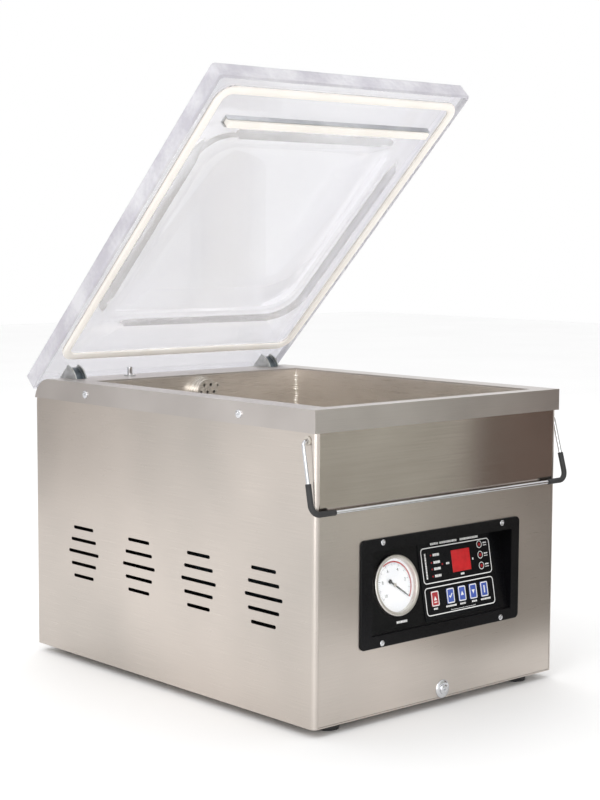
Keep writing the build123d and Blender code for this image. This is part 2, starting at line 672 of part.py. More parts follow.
def hinge_bracket(side):
    """Two cheeks with a curved web between them and a flange under the lid."""
    left = side * hinge_offset - HINGE_WIDTH / 2
    with BuildPart() as bracket:
        with BuildSketch(lid_section(left)):
            make_face(sector_outline(HINGE_REACH))
        extrude(amount=HINGE_WIDTH)
        # hollow in front of the web and behind it
        with BuildSketch(lid_section(left + CHEEK)) as web_front:
            with Locations((hinge_y, hinge_height)):
                Circle(HINGE_REACH + 1)
                Circle(WEB_RADIUS, mode=Mode.SUBTRACT)
        extrude(amount=HINGE_WIDTH - 2 * CHEEK, mode=Mode.SUBTRACT)
        with BuildSketch(lid_section(left + CHEEK)):
            with Locations((hinge_y, hinge_height)):
                Circle(WEB_RADIUS - WEB)
            with Locations((hinge_y, flange_bottom + HINGE_REACH)):
                Rectangle(4 * HINGE_REACH, 2 * HINGE_REACH, mode=Mode.SUBTRACT)
        extrude(amount=HINGE_WIDTH - 2 * CHEEK, mode=Mode.SUBTRACT)
        with BuildSketch(lid_section(left)):
            with Locations((hinge_y, hinge_height)):
                Circle(PIN_RADIUS + RUNNING_FIT)
        extrude(amount=HINGE_WIDTH, mode=Mode.SUBTRACT)
        with BuildSketch(lid_level(lid_under)):
            with Locations(*[(side * hinge_offset, hinge_y + back) for back in LID_SCREW_BACKS]):
                Circle(LID_SCREW_RADIUS)
        extrude(amount=-FLANGE, mode=Mode.SUBTRACT)
    return bracket.part


with BuildPart() as hinge_brackets:
    add(hinge_bracket(-1))
    add(hinge_bracket(1))
hinge_brackets.part.label = "hinge_brackets"
export_step(hinge_brackets.part, "parts/hinge_brackets.step")

with BuildPart() as hinge_lid_screws:
    with BuildSketch(lid_level(flange_bottom)):
        with Locations(*lid_screw_spots):
            Circle(3.2)
    extrude(amount=-1.6)
    with BuildSketch(lid_level(flange_bottom)):
        with Locations(*lid_screw_spots):
            Circle(LID_SCREW_RADIUS)
    extrude(amount=FLANGE + LID_SCREW_DEPTH - 1)
hinge_lid_screws.part.label = "hinge_lid_screws"
export_step(hinge_lid_screws.part, "parts/hinge_lid_screws.step")

EAR = 3
EAR_HUB = 4.9
EAR_FRONT = 16
EAR_BOTTOM = 30             # bridge of the base below the axis
ear_inner = HINGE_WIDTH / 2 + 0.4
pin_half = ear_inner + EAR + 1.5


def hinge_base(side):
    """Fixed fork under the deck: two ears outside the bracket, joined by a bridge below it."""
    with BuildPart() as base:
        with BuildSketch(section(side * hinge_offset)):
            with BuildLine():
                Polyline((hinge_y - EAR_FRONT, deck_under), (hinge_y - 5, deck_under),
                         (hinge_y + EAR_HUB, hinge_height), (hinge_y + EAR_HUB, hinge_height - EAR_BOTTOM),
                         (hinge_y - EAR_FRONT, hinge_height - EAR_BOTTOM), close=True)
            make_face()
        extrude(amount=ear_inner + EAR, both=True)
        with BuildSketch(section(side * hinge_offset)):
            with Locations((hinge_y, hinge_height)):
                Rectangle(4 * EAR_FRONT, 2 * (EAR_BOTTOM - EAR))
        extrude(amount=ear_inner, both=True, mode=Mode.SUBTRACT)
        with BuildSketch(section(side * hinge_offset)):
            with Locations((hinge_y, hinge_height)):
                Circle(PIN_RADIUS)
        extrude(amount=ear_inner + EAR, both=True, mode=Mode.SUBTRACT)
    return base.part


with BuildPart() as hinge_bases:
    add(hinge_base(-1))
    add(hinge_base(1))
hinge_bases.part.label = "hinge_bases"
export_step(hinge_bases.part, "parts/hinge_bases.step")

with BuildPart() as hinge_pins:
    for side in (-1, 1):
        with BuildSketch(section(side * hinge_offset)):
            with Locations((hinge_y, hinge_height)):
                Circle(PIN_RADIUS)
        extrude(amount=pin_half, both=True)
        with BuildSketch(section(side * hinge_offset - pin_half)):
            with Locations((hinge_y, hinge_height)):
                Circle(PIN_RADIUS + 1)
        extrude(amount=-1.2)
hinge_pins.part.label = "hinge_pins"
export_step(hinge_pins.part, "parts/hinge_pins.step")

COIL_TURNS = 5
COIL_WIRE = 0.7
COIL_RADIUS = 4.2
coil_half = COIL_TURNS * COIL_WIRE

with BuildPart() as lid_springs:
    for side in (-1, 1):
        coil_plane = Plane((side * hinge_offset, hinge_y, hinge_height), x_dir=(1, 0, 0), z_dir=(0, -1, 0))
        with BuildSketch(coil_plane):
            with Locations((0, COIL_RADIUS)):
                Rectangle(2 * coil_half, COIL_WIRE)
                with GridLocations(2 * COIL_WIRE, 1, COIL_TURNS, 1):
                    Circle(COIL_WIRE)
        revolve(axis=Axis((0, hinge_y, hinge_height), (1, 0, 0)))
        with BuildSketch(level(hinge_height - EAR_BOTTOM + EAR)):
            with Locations((side * hinge_offset, hinge_y - COIL_RADIUS)):
                Circle(COIL_WIRE)
        extrude(amount=EAR_BOTTOM - EAR)
lid_springs.part.label = "lid_springs"
export_step(lid_springs.part, "parts/lid_springs.step")

# ---------------------------------------------------------------- lid switch
PIN_SINK = LID_PIN_STANDING - LID_GAP + CLEARANCE   # the closing lid pushes the pin down this far
PIN_LENGTH = 42
BUSH_FLANGE = 0.8
BUSH_LENGTH = 14

with BuildPart() as lid_switch_pin:
    with BuildSketch(level(DECK_HEIGHT + LID_PIN_STANDING)):
        with Locations((LID_PIN_X, lid_pin_y)):
            Circle(LID_PIN_RADIUS)
    extrude(amount=-PIN_LENGTH)
    fillet(lid_switch_pin.faces().sort_by(Axis.Z)[-1].edges(), 0.8)
lid_switch_pin.part.label = "lid_switch_pin"
export_step(lid_switch_pin.part, "parts/lid_switch_pin.step")

with BuildPart() as lid_pin_bush:
    with BuildSketch(level(DECK_HEIGHT)):
        with Locations((LID_PIN_X, lid_pin_y)):
            Circle(LID_PIN_BUSH + 1.5)
    extrude(amount=BUSH_FLANGE)
    with BuildSketch(level(DECK_HEIGHT)):
        with Locations((LID_PIN_X, lid_pin_y)):
            Circle(LID_PIN_BUSH)
    extrude(amount=-BUSH_LENGTH)
    with BuildSketch(level(DECK_HEIGHT + BUSH_FLANGE)):
        with Locations((LID_PIN_X, lid_pin_y)):
            Circle(LID_PIN_RADIUS + RUNNING_FIT)
    extrude(amount=-BUSH_LENGTH - BUSH_FLANGE, mode=Mode.SUBTRACT)
lid_pin_bush.part.label = "lid_pin_bush"
export_step(lid_pin_bush.part, "parts/lid_pin_bush.step")

SWITCH_SIZE = (10, 28, 16)
SWITCH_DROP = 34            # top of the switch below the deck's top

with BuildPart() as lid_microswitch:
    with BuildSketch(level(DECK_HEIGHT - SWITCH_DROP)):
        with Locations((LID_PIN_X - LID_PIN_RADIUS - SWITCH_SIZE[0] / 2 - 1, lid_pin_y)):
            Rectangle(SWITCH_SIZE[0], SWITCH_SIZE[1])
    extrude(amount=-SWITCH_SIZE[2])
    # mounting strap up to the deck
    with BuildSketch(level(deck_under)):
        with Locations((LID_PIN_X - LID_PIN_RADIUS - SWITCH_SIZE[0] - 1, lid_pin_y)):
            Rectangle(1.5, 14)
    extrude(amount=-(SWITCH_DROP + 4))
lid_microswitch.part.label = "lid_microswitch"
export_step(lid_microswitch.part, "parts/lid_microswitch.step")

# ---------------------------------------------------------------- wire bail
BAIL_TAIL = 17              # wire inside the pivot, from the leg inwards
PIVOT_BEND = 5
BAR_BEND = 9
GRIP_UP = 27                # grip sleeve up the leg
GRIP_ALONG = 28             # and along the bar

bail_half = lid_width / 2 + BAIL_SIDE_GAP
bail_pivot_y = FRONT + BAIL_PIVOT_BACK
bar_y = FRONT - BAIL_STANDOFF
bail_rise = bail_pivot_height - bail_bar_height
leg_lean = (bar_y - bail_pivot_y) / bail_rise
leg_splay = BAIL_SPLAY / bail_rise


def bail_point(side, rise):
    """Point on a leg, that far above the bar."""
    return (side * (bail_half - leg_splay * rise), bar_y - leg_lean * rise, bail_bar_height + rise)


bail_route = [(-bail_half + BAIL_TAIL, bail_pivot_y, bail_pivot_height), bail_point(-1, bail_rise),
              bail_point(-1, 0), bail_point(1, 0), bail_point(1, bail_rise),
              (bail_half - BAIL_TAIL, bail_pivot_y, bail_pivot_height)]

with BuildPart() as bail_wire:
    with BuildLine() as bail_path:
        FilletPolyline(*bail_route, radius=[PIVOT_BEND, BAR_BEND, BAR_BEND, PIVOT_BEND])
    with BuildSketch(Plane(origin=bail_path.line @ 0, z_dir=bail_path.line % 0)):
        Circle(WIRE_RADIUS)
    sweep()
bail_wire.part.label = "bail_wire"
export_step(bail_wire.part, "parts/bail_wire.step")

with BuildPart() as bail_grips:
    for side in (-1, 1):
        with BuildLine() as grip_path:
            FilletPolyline(bail_point(side, GRIP_UP), bail_point(side, 0),
                           (side * (bail_half - GRIP_ALONG), bar_y, bail_bar_height), radius=BAR_BEND)
        with BuildSketch(Plane(origin=grip_path.line @ 0, z_dir=grip_path.line % 0)):
            Circle(grip_radius)
            Circle(WIRE_RADIUS, mode=Mode.SUBTRACT)
        sweep()
bail_grips.part.label = "bail_grips"
export_step(bail_grips.part, "parts/bail_grips.step")

BUSH_HEAD = 1.2
BUSH_LIP = 0.9
BUSH_DEPTH = 3              # into the cabinet's side
with BuildPart() as bail_bushes:
    for side in (-1, 1):
        bush_face = Plane((side * BODY_WIDTH / 2, bail_pivot_y, bail_pivot_height), z_dir=(side, 0, 0))
        with BuildSketch(bush_face):
            Circle(BUSH_RADIUS + BUSH_LIP)
            Circle(WIRE_RADIUS + RUNNING_FIT, mode=Mode.SUBTRACT)
        extrude(amount=BUSH_HEAD)
        with BuildSketch(bush_face):
            Circle(BUSH_RADIUS)
            Circle(WIRE_RADIUS + RUNNING_FIT, mode=Mode.SUBTRACT)
        extrude(amount=-BUSH_DEPTH)
bail_bushes.part.label = "bail_bushes"
export_step(bail_bushes.part, "parts/bail_bushes.step")

# ================================================================ control panel
recess_fall = RECESS_DEEP - RECESS_SHALLOW
recess_slope = hypot(recess_fall, recess_height)
floor_up = (0, recess_fall / recess_slope, recess_height / recess_slope)
floor_normal = (0, -recess_height / recess_slope, recess_fall / recess_slope)
floor_foot = (0, FRONT + RECESS_SHALLOW, recess_bottom)


def on_floor(standing):
    """Plane of the sloping floor, that far in front of it: sketch x is X, sketch y runs up the floor."""
    origin = tuple(foot + standing * part for foot, part in zip(floor_foot, floor_normal))
    return Plane(origin, x_dir=(1, 0, 0), z_dir=floor_normal)


BEZEL_SCREW_X = 82
BEZEL_SCREW_INSET = 4       # from the bezel's top and bottom edges
KEY_FIELD = (-19, 82)       # opening of the floor behind the keypad, left and right
KEY_FIELD_LOW = 4
KEY_FIELD_HIGH = 75
OVERLAY_MARGIN = 1.5
OVERLAY = 0.8

GAUGE_X = -54
GAUGE_UP = 42
GAUGE_RING = 29
GAUGE_CASE = 26.5
GAUGE_WALL = 1.5
GAUGE_PROUD = 3.5
GAUGE_DEPTH = 24

bezel_screw_spots = [(side * BEZEL_SCREW_X, height) for side in (-1, 1)
                     for height in (bezel_bottom + BEZEL_SCREW_INSET, bezel_top - BEZEL_SCREW_INSET)]
BEZEL_SCREW_RADIUS = 1.5
BEZEL_SCREW_HEAD = 2.75

with BuildPart() as recess_space:
    with BuildSketch(section(RECESS_LEFT)):
        with BuildLine():
            Polyline((FRONT - 2 * BEZEL_SHEET, recess_bottom), (FRONT + RECESS_SHALLOW, recess_bottom),
                     (FRONT + RECESS_DEEP, recess_top), (FRONT - 2 * BEZEL_SHEET, recess_top), close=True)
        make_face()
    extrude(amount=recess_width)

with BuildPart() as control_bezel:
    with BuildSketch(facing(FRONT)) as bezel_outline:
        with Locations((0, bezel_middle_z)):
            RectangleRounded(BEZEL_WIDTH, bezel_top - bezel_bottom, 5)
    extrude(amount=BEZEL_SHEET)
    fillet(control_bezel.faces().sort_by(Axis.Y)[0].edges(), 1)
    with BuildSketch(section(RECESS_LEFT - BEZEL_SHEET)):
        with BuildLine():
            Polyline((FRONT, recess_bottom - BEZEL_SHEET),
                     (FRONT + RECESS_SHALLOW + BEZEL_SHEET, recess_bottom - BEZEL_SHEET),
                     (FRONT + RECESS_DEEP + BEZEL_SHEET, recess_top + BEZEL_SHEET),
                     (FRONT, recess_top + BEZEL_SHEET), close=True)
        make_face()
    extrude(amount=recess_width + 2 * BEZEL_SHEET)
    add(recess_space.part, mode=Mode.SUBTRACT)
    with BuildSketch(on_floor(1)):
        with Locations((GAUGE_X, GAUGE_UP)):
            Circle(GAUGE_CASE + CLEARANCE)
        with Locations(((KEY_FIELD[0] + KEY_FIELD[1]) / 2, (KEY_FIELD_LOW + KEY_FIELD_HIGH) / 2)):
            Rectangle(KEY_FIELD[1] - KEY_FIELD[0], KEY_FIELD_HIGH - KEY_FIELD_LOW)
    extrude(amount=-3 * BEZEL_SHEET, mode=Mode.SUBTRACT)
    with BuildSketch(facing(FRONT)):
        with Locations(*bezel_screw_spots):
            Circle(BEZEL_SCREW_RADIUS)
    extrude(amount=BEZEL_SHEET, mode=Mode.SUBTRACT)
control_bezel.part.label = "control_bezel"
export_step(control_bezel.part, "parts/control_bezel.step")

with BuildPart() as bezel_screws:
    with BuildSketch(facing(FRONT - BEZEL_SHEET)):
        with Locations(*bezel_screw_spots):
            Circle(BEZEL_SCREW_HEAD)
    extrude(amount=1.2, taper=30)
    with BuildSketch(facing(FRONT - BEZEL_SHEET)):
        with Locations(*bezel_screw_spots):
            Circle(BEZEL_SCREW_RADIUS)
    extrude(amount=-BEZEL_SHEET)
bezel_screws.part.label = "bezel_screws"
export_step(bezel_screws.part, "parts/bezel_screws.step")

# ---------------------------------------------------------------- vacuum gauge
DIAL_BACK = 2.2             # dial's back below the floor
DIAL_SHEET = 0.8
NEEDLE_ANGLE = -36          # direction of the pointer at zero vacuum
NEEDLE_LENGTH = 20
NEEDLE_TAIL = 9
NEEDLE_SHEET = 0.4
ARBOR_RADIUS = 0.8
gauge_inner = GAUGE_CASE - GAUGE_WALL

with BuildPart() as gauge_case:
    with BuildSketch(on_floor(0)):
        with Locations((GAUGE_X, GAUGE_UP)):
            Circle(GAUGE_RING)
    extrude(amount=GAUGE_PROUD)
    chamfer(gauge_case.faces().sort_by(Axis.Y)[0].edges(), 1.2)
    with BuildSketch(on_floor(0)):
        with Locations((GAUGE_X, GAUGE_UP)):
            Circle(GAUGE_CASE)
    extrude(amount=-GAUGE_DEPTH)
    with BuildSketch(on_floor(-DIAL_BACK)):
        with Locations((GAUGE_X, GAUGE_UP)):
            Circle(gauge_inner)
    extrude(amount=GAUGE_PROUD + DIAL_BACK, mode=Mode.SUBTRACT)
    with BuildSketch(on_floor(-DIAL_BACK - 6)):
        with Locations((GAUGE_X, GAUGE_UP)):
            Circle(ARBOR_RADIUS + RUNNING_FIT)
    extrude(amount=6, mode=Mode.SUBTRACT)
    with BuildSketch(on_floor(-GAUGE_DEPTH)):
        with Locations((GAUGE_X, GAUGE_UP)):
            Circle(5)
    extrude(amount=-12)
gauge_case.part.label = "gauge_case"
export_step(gauge_case.part, "parts/gauge_case.step")

with BuildPart() as gauge_dial:
    with BuildSketch(on_floor(-DIAL_BACK)):
        with Locations((GAUGE_X, GAUGE_UP)):
            Circle(gauge_inner)
            Circle(ARBOR_RADIUS + RUNNING_FIT, mode=Mode.SUBTRACT)
    extrude(amount=DIAL_SHEET)
gauge_dial.part.label = "gauge_dial"
export_step(gauge_dial.part, "parts/gauge_dial.step")

with BuildPart() as gauge_needle:
    with BuildSketch(on_floor(-DIAL_BACK + DIAL_SHEET + 0.8)):
        with Locations(Location((GAUGE_X, GAUGE_UP), NEEDLE_ANGLE)):
            Polygon((-NEEDLE_TAIL, -1.3), (0, -0.9), (NEEDLE_LENGTH, -0.25), (NEEDLE_LENGTH, 0.25), (0, 0.9),
                    (-NEEDLE_TAIL, 1.3), align=None)
            Circle(2)
    extrude(amount=NEEDLE_SHEET)
    with BuildSketch(on_floor(-DIAL_BACK - 5)):
        with Locations((GAUGE_X, GAUGE_UP)):
            Circle(ARBOR_RADIUS)
    extrude(amount=5 + DIAL_SHEET + 0.8)
gauge_needle.part.label = "gauge_needle"
export_step(gauge_needle.part, "parts/gauge_needle.step")

with BuildPart() as gauge_lens:
    with BuildSketch(on_floor(1.2)):
        with Locations((GAUGE_X, GAUGE_UP)):
            Circle(gauge_inner)
    extrude(amount=1.2)
gauge_lens.part.label = "gauge_lens"
export_step(gauge_lens.part, "parts/gauge_lens.step")

# ---------------------------------------------------------------- keypad
KEYS = (("key_stop", -4.5), ("key_set", 17), ("key_up", 33.2), ("key_down", 49), ("key_manual", 65))
KEY_ROW_UP = 22.4
KEY_WIDTH = 10.4
KEY_HEIGHT = 14.6
KEY_PROUD = 1.2             # above the floor's surface
KEY_STEM = 6
KEY_TRAVEL = 0.5
BOARD_BACK = 12             # front of the circuit board behind the floor
BOARD_SHEET = 1.6
TACT_HEIGHT = 5

DISPLAY_X = 37.6
DISPLAY_UP = 54.3
DISPLAY_WIDTH = 26
DISPLAY_HEIGHT = 21.2
LAMP_X = 65.5
LAMP_UPS = (66.2, 55.9, 45.3)
SMALL_LAMP_X = -3.5
SMALL_LAMP_UPS = (63.5, 56.4, 50.2, 43.4)
POINT_LAMP = (11, 53.6)
LAMP_RADIUS = 1.6
SMALL_LAMP_RADIUS = 0.9

lamp_spots = [(LAMP_X, up) for up in LAMP_UPS]
small_lamp_spots = [(SMALL_LAMP_X, up) for up in SMALL_LAMP_UPS] + [POINT_LAMP]
key_spots = [(x, KEY_ROW_UP) for _, x in KEYS]
field_middle = ((KEY_FIELD[0] + KEY_FIELD[1]) / 2, (KEY_FIELD_LOW + KEY_FIELD_HIGH) / 2)
field_width = KEY_FIELD[1] - KEY_FIELD[0]
field_height = KEY_FIELD_HIGH - KEY_FIELD_LOW
tact_top = -BOARD_BACK + TACT_HEIGHT
key_bottom = tact_top + KEY_TRAVEL + 0.2

with BuildPart() as keypad_overlay:
    with BuildSketch(on_floor(0)):
        with Locations(field_middle):
            RectangleRounded(field_width + 2 * OVERLAY_MARGIN, field_height + 2 * OVERLAY_MARGIN, 2)
        with Locations(*key_spots):
            Rectangle(KEY_WIDTH + 2 * CLEARANCE, KEY_HEIGHT + 2 * CLEARANCE, mode=Mode.SUBTRACT)
        with Locations((DISPLAY_X, DISPLAY_UP)):
            Rectangle(DISPLAY_WIDTH, DISPLAY_HEIGHT, mode=Mode.SUBTRACT)
        with Locations(*lamp_spots):
            Circle(LAMP_RADIUS, mode=Mode.SUBTRACT)
        with Locations(*small_lamp_spots):
            Circle(SMALL_LAMP_RADIUS, mode=Mode.SUBTRACT)
    extrude(amount=OVERLAY)
keypad_overlay.part.label = "keypad_overlay"
export_step(keypad_overlay.part, "parts/keypad_overlay.step")

for key_name, key_x in KEYS:
    with BuildPart() as key:
        with BuildSketch(on_floor(-1)):
            with Locations((key_x, KEY_ROW_UP)):
                RectangleRounded(KEY_WIDTH, KEY_HEIGHT, 1.2)
        extrude(amount=1 + KEY_PROUD)
        with BuildSketch(on_floor(-1)):
            with Locations((key_x, KEY_ROW_UP)):
                Rectangle(KEY_STEM, KEY_STEM)
        extrude(amount=key_bottom + 1)
    key.part.label = key_name
    export_step(key.part, f"parts/{key_name}.step")

with BuildPart() as display_window:
    with BuildSketch(on_floor(-1.5)):
        with Locations((DISPLAY_X, DISPLAY_UP)):
            Rectangle(DISPLAY_WIDTH, DISPLAY_HEIGHT)
    extrude(amount=1.5 + OVERLAY + 0.2)
display_window.part.label = "display_window"
export_step(display_window.part, "parts/display_window.step")

with BuildPart() as indicator_lamps:
    with BuildSketch(on_floor(-2)):
        with Locations(*lamp_spots):
            Circle(LAMP_RADIUS)
    extrude(amount=2 + OVERLAY + 0.6)
    with BuildSketch(on_floor(-2)):
        with Locations(*small_lamp_spots):
            Circle(SMALL_LAMP_RADIUS)
    extrude(amount=2 + OVERLAY + 0.2)
indicator_lamps.part.label = "indicator_lamps"
export_step(indicator_lamps.part, "parts/indicator_lamps.step")

with BuildPart() as control_board:
    with BuildSketch(on_floor(-BOARD_BACK)):
        with Locations(field_middle):
            Rectangle(field_width - 2, field_height - 2)
    extrude(amount=-BOARD_SHEET)
    with BuildSketch(on_floor(-BOARD_BACK)):
        with Locations(*key_spots):
            Rectangle(KEY_STEM, KEY_STEM)
    extrude(amount=TACT_HEIGHT)
    # lamp carriers and display module reach up to the overlay
    with BuildSketch(on_floor(-BOARD_BACK)):
        with Locations(*lamp_spots):
            Circle(LAMP_RADIUS)
        with Locations(*small_lamp_spots):
            Circle(SMALL_LAMP_RADIUS)
    extrude(amount=BOARD_BACK - 2)
    with BuildSketch(on_floor(-BOARD_BACK)):
        with Locations((DISPLAY_X, DISPLAY_UP)):
            Rectangle(DISPLAY_WIDTH, DISPLAY_HEIGHT)
    extrude(amount=BOARD_BACK - 1.5)
control_board.part.label = "control_board"
export_step(control_board.part, "parts/control_board.step")

# ================================================================ rear
INLET_SIDE = 53             # inlet and switch in from the cabinet's side
INLET_HEIGHT = 62
INLET_BODY = (27, 46)
INLET_FLANGE = (31, 58)
INLET_DEPTH = 24
SOCKET = (24, 17)
SOCKET_DEPTH = 16
PRONG = (2, 4)
PRONG_SPREAD = 7            # outer prongs beside the middle one
PRONG_STAGGER = 2           # and above or below the socket's middle
PRONG_RECESS = 2            # their tips behind the socket's mouth
SWITCH_HEIGHT = 112
SWITCH_BODY = (22, 28)
ROCKER_RADIUS = 10
ROCKER_WIDTH = 15
REAR_VENT_LENGTH = 50
REAR_VENT_GAP = 20          # between the two columns
REAR_VENT_PITCH = 12
REAR_VENT_ROWS = 7
REAR_VENT_HEIGHT = 150      # middle row
REAR_PANEL_LAP = 6          # panel beyond its window all round
inlet_x = BODY_WIDTH / 2 - INLET_SIDE
rear_panel_y = inside_rear          # outside face of the rear panel
rear_panel_half = rear_window_half + REAR_PANEL_LAP

with BuildPart() as rear_panel:
    with BuildSketch(facing(rear_panel_y)):
        with Locations((0, (REAR_WINDOW_BOTTOM + rear_window_top) / 2)):
            Rectangle(2 * rear_panel_half, rear_window_top - REAR_WINDOW_BOTTOM + 2 * REAR_PANEL_LAP)
        with Locations((inlet_x, INLET_HEIGHT)):
            Rectangle(*INLET_BODY, mode=Mode.SUBTRACT)
        with Locations((inlet_x, SWITCH_HEIGHT)):
            Rectangle(*SWITCH_BODY, mode=Mode.SUBTRACT)
        with Locations((0, REAR_VENT_HEIGHT)):
            with GridLocations(REAR_VENT_LENGTH + REAR_VENT_GAP, REAR_VENT_PITCH, 2, REAR_VENT_ROWS):
                SlotOverall(REAR_VENT_LENGTH, VENT_HEIGHT, mode=Mode.SUBTRACT)
    extrude(amount=SHEET)
rear_panel.part.label = "rear_panel"
export_step(rear_panel.part, "parts/rear_panel.step")

with BuildPart() as power_inlet:
    with BuildSketch(facing(rear_panel_y)):
        with Locations((inlet_x, INLET_HEIGHT)):
            RectangleRounded(*INLET_FLANGE, 3)
    extrude(amount=-2.5)
    with BuildSketch(facing(rear_panel_y)):
        with Locations((inlet_x, INLET_HEIGHT)):
            Rectangle(*INLET_BODY)
    extrude(amount=INLET_DEPTH)
    with BuildSketch(facing(rear_panel_y + 2.5)) as inlet_mouth:
        with Locations((inlet_x, INLET_HEIGHT)):
            Rectangle(*SOCKET)
        chamfer(inlet_mouth.vertices().group_by(Axis.Y)[-1], 4)
    extrude(amount=SOCKET_DEPTH + 2.5, mode=Mode.SUBTRACT)
    with BuildSketch(facing(rear_panel_y - SOCKET_DEPTH)):
        with Locations((inlet_x - PRONG_SPREAD, INLET_HEIGHT - PRONG_STAGGER),
                       (inlet_x, INLET_HEIGHT + PRONG_STAGGER),
                       (inlet_x + PRONG_SPREAD, INLET_HEIGHT - PRONG_STAGGER)):
            Rectangle(*PRONG)
    extrude(amount=PRONG_RECESS - SOCKET_DEPTH)
power_inlet.part.label = "power_inlet"
export_step(power_inlet.part, "parts/power_inlet.step")

rocker_y = rear_panel_y - 3
ROCKER_TILT = 11

with BuildPart() as power_switch:
    with BuildSketch(facing(rear_panel_y)):
        with Locations((inlet_x, SWITCH_HEIGHT)):
            Rectangle(SWITCH_BODY[0] + 4, SWITCH_BODY[1] + 4)
    extrude(amount=-2)
    with BuildSketch(facing(rear_panel_y)):
        with Locations((inlet_x, SWITCH_HEIGHT)):
            Rectangle(*SWITCH_BODY)
    extrude(amount=20)
    with BuildSketch(section(inlet_x - ROCKER_WIDTH / 2 - CLEARANCE)):
        with Locations((rocker_y, SWITCH_HEIGHT)):
            Circle(ROCKER_RADIUS + CLEARANCE)
    extrude(amount=ROCKER_WIDTH + 2 * CLEARANCE, mode=Mode.SUBTRACT)
power_switch.part.label = "power_switch"
export_step(power_switch.part, "parts/power_switch.step")

with BuildPart() as power_rocker:
    with BuildSketch(section(inlet_x - ROCKER_WIDTH / 2)):
        with Locations((rocker_y, SWITCH_HEIGHT)):
            Circle(ROCKER_RADIUS)
        # two flats meeting at a shallow angle, the lower one pressed in
        with Locations(Location((rocker_y, SWITCH_HEIGHT), -ROCKER_TILT)):
            Polygon((4.5, 0), (7.5, 12), (20, 12), (20, -12), (7.5, -12), align=None, mode=Mode.SUBTRACT)
    extrude(amount=ROCKER_WIDTH)
power_rocker.part.label = "power_rocker"
export_step(power_rocker.part, "parts/power_rocker.step")

# ================================================================ inside
PUMP_X = 0
PUMP_AXIS_HEIGHT = 92
MOTOR_RADIUS = 56
MOTOR_WALL = 4
MOTOR_LENGTH = 155
CAP = 8
SHAFT_RADIUS = 6
STATOR_BORE = 31
ROTOR_GAP = 0.5
FAN_RADIUS = 44
FAN_LENGTH = 12
PUMP_WIDTH = 118
PUMP_HEIGHT = 136
PUMP_LENGTH = 106
HOSE_DROP_INSET = 36        # upright run of the hose in front of the cabinet's rear face
PUMP_INSET = 29             # rear of the pump from the cabinet's rear face
HOSE_RADIUS = 9.5
inside_floor = FOOT_HEIGHT + SHEET
pump_rear = REAR - PUMP_INSET
motor_rear = pump_rear - PUMP_LENGTH
motor_front = motor_rear - MOTOR_LENGTH
hose_drop_y = REAR - HOSE_DROP_INSET
pump_top = inside_floor + PUMP_HEIGHT + 12

with BuildPart() as motor_housing:
    with BuildSketch(facing(motor_front)):
        with Locations((PUMP_X, PUMP_AXIS_HEIGHT)):
            Circle(MOTOR_RADIUS)
    extrude(amount=-MOTOR_LENGTH)
    with BuildSketch(facing(motor_front + CAP)):
        with Locations((PUMP_X, PUMP_AXIS_HEIGHT)):
            Circle(MOTOR_RADIUS - MOTOR_WALL)
    extrude(amount=-(MOTOR_LENGTH - 2 * CAP), mode=Mode.SUBTRACT)
    with BuildSketch(facing(motor_front)):
        with Locations((PUMP_X, PUMP_AXIS_HEIGHT)):
            Circle(SHAFT_RADIUS + RUNNING_FIT)
    extrude(amount=-MOTOR_LENGTH, mode=Mode.SUBTRACT)
    # foot down to the cabinet's floor
    with BuildSketch(level(inside_floor)):
        with Locations((PUMP_X, (motor_front + motor_rear) / 2)):
            Rectangle(90, MOTOR_LENGTH - 40)
    extrude(amount=PUMP_AXIS_HEIGHT - MOTOR_RADIUS - inside_floor + MOTOR_WALL / 2)
motor_housing.part.label = "motor_housing"
export_step(motor_housing.part, "parts/motor_housing.step")

with BuildPart() as motor_stator:
    with BuildSketch(facing(motor_front + 2.5 * CAP)):
        with Locations((PUMP_X, PUMP_AXIS_HEIGHT)):
            Circle(MOTOR_RADIUS - MOTOR_WALL)
            Circle(STATOR_BORE, mode=Mode.SUBTRACT)
    extrude(amount=-(MOTOR_LENGTH - 5 * CAP))
motor_stator.part.label = "motor_stator"
export_step(motor_stator.part, "parts/motor_stator.step")

with BuildPart() as motor_rotor:
    with BuildSketch(facing(motor_front - FAN_LENGTH - 8)):
        with Locations((PUMP_X, PUMP_AXIS_HEIGHT)):
            Circle(SHAFT_RADIUS)
    extrude(amount=-(MOTOR_LENGTH + FAN_LENGTH + 6))
    with BuildSketch(facing(motor_front + 2.5 * CAP)):
        with Locations((PUMP_X, PUMP_AXIS_HEIGHT)):
            Circle(STATOR_BORE - ROTOR_GAP)
    extrude(amount=-(MOTOR_LENGTH - 5 * CAP))
    with BuildSketch(facing(motor_front - 5)):
        with Locations((PUMP_X, PUMP_AXIS_HEIGHT)):
            Circle(12)
            for blade in range(6):
                with Locations(Location((0, 0), 60 * blade)):
                    with Locations((FAN_RADIUS / 2, 0)):
                        Rectangle(FAN_RADIUS, 3)
    extrude(amount=FAN_LENGTH)
motor_rotor.part.label = "motor_rotor"
export_step(motor_rotor.part, "parts/motor_rotor.step")

with BuildPart() as fan_cover:
    with BuildSketch(facing(motor_front)):
        with Locations((PUMP_X, PUMP_AXIS_HEIGHT)):
            Circle(MOTOR_RADIUS)
            Circle(MOTOR_RADIUS - 2, mode=Mode.SUBTRACT)
    extrude(amount=FAN_LENGTH + 14)
    with BuildSketch(facing(motor_front - FAN_LENGTH - 12)):
        with Locations((PUMP_X, PUMP_AXIS_HEIGHT)):
            Circle(MOTOR_RADIUS)
            with GridLocations(9, 9, 9, 9):
                Circle(2.6, mode=Mode.SUBTRACT)
    extrude(amount=2)
fan_cover.part.label = "fan_cover"
export_step(fan_cover.part, "parts/fan_cover.step")

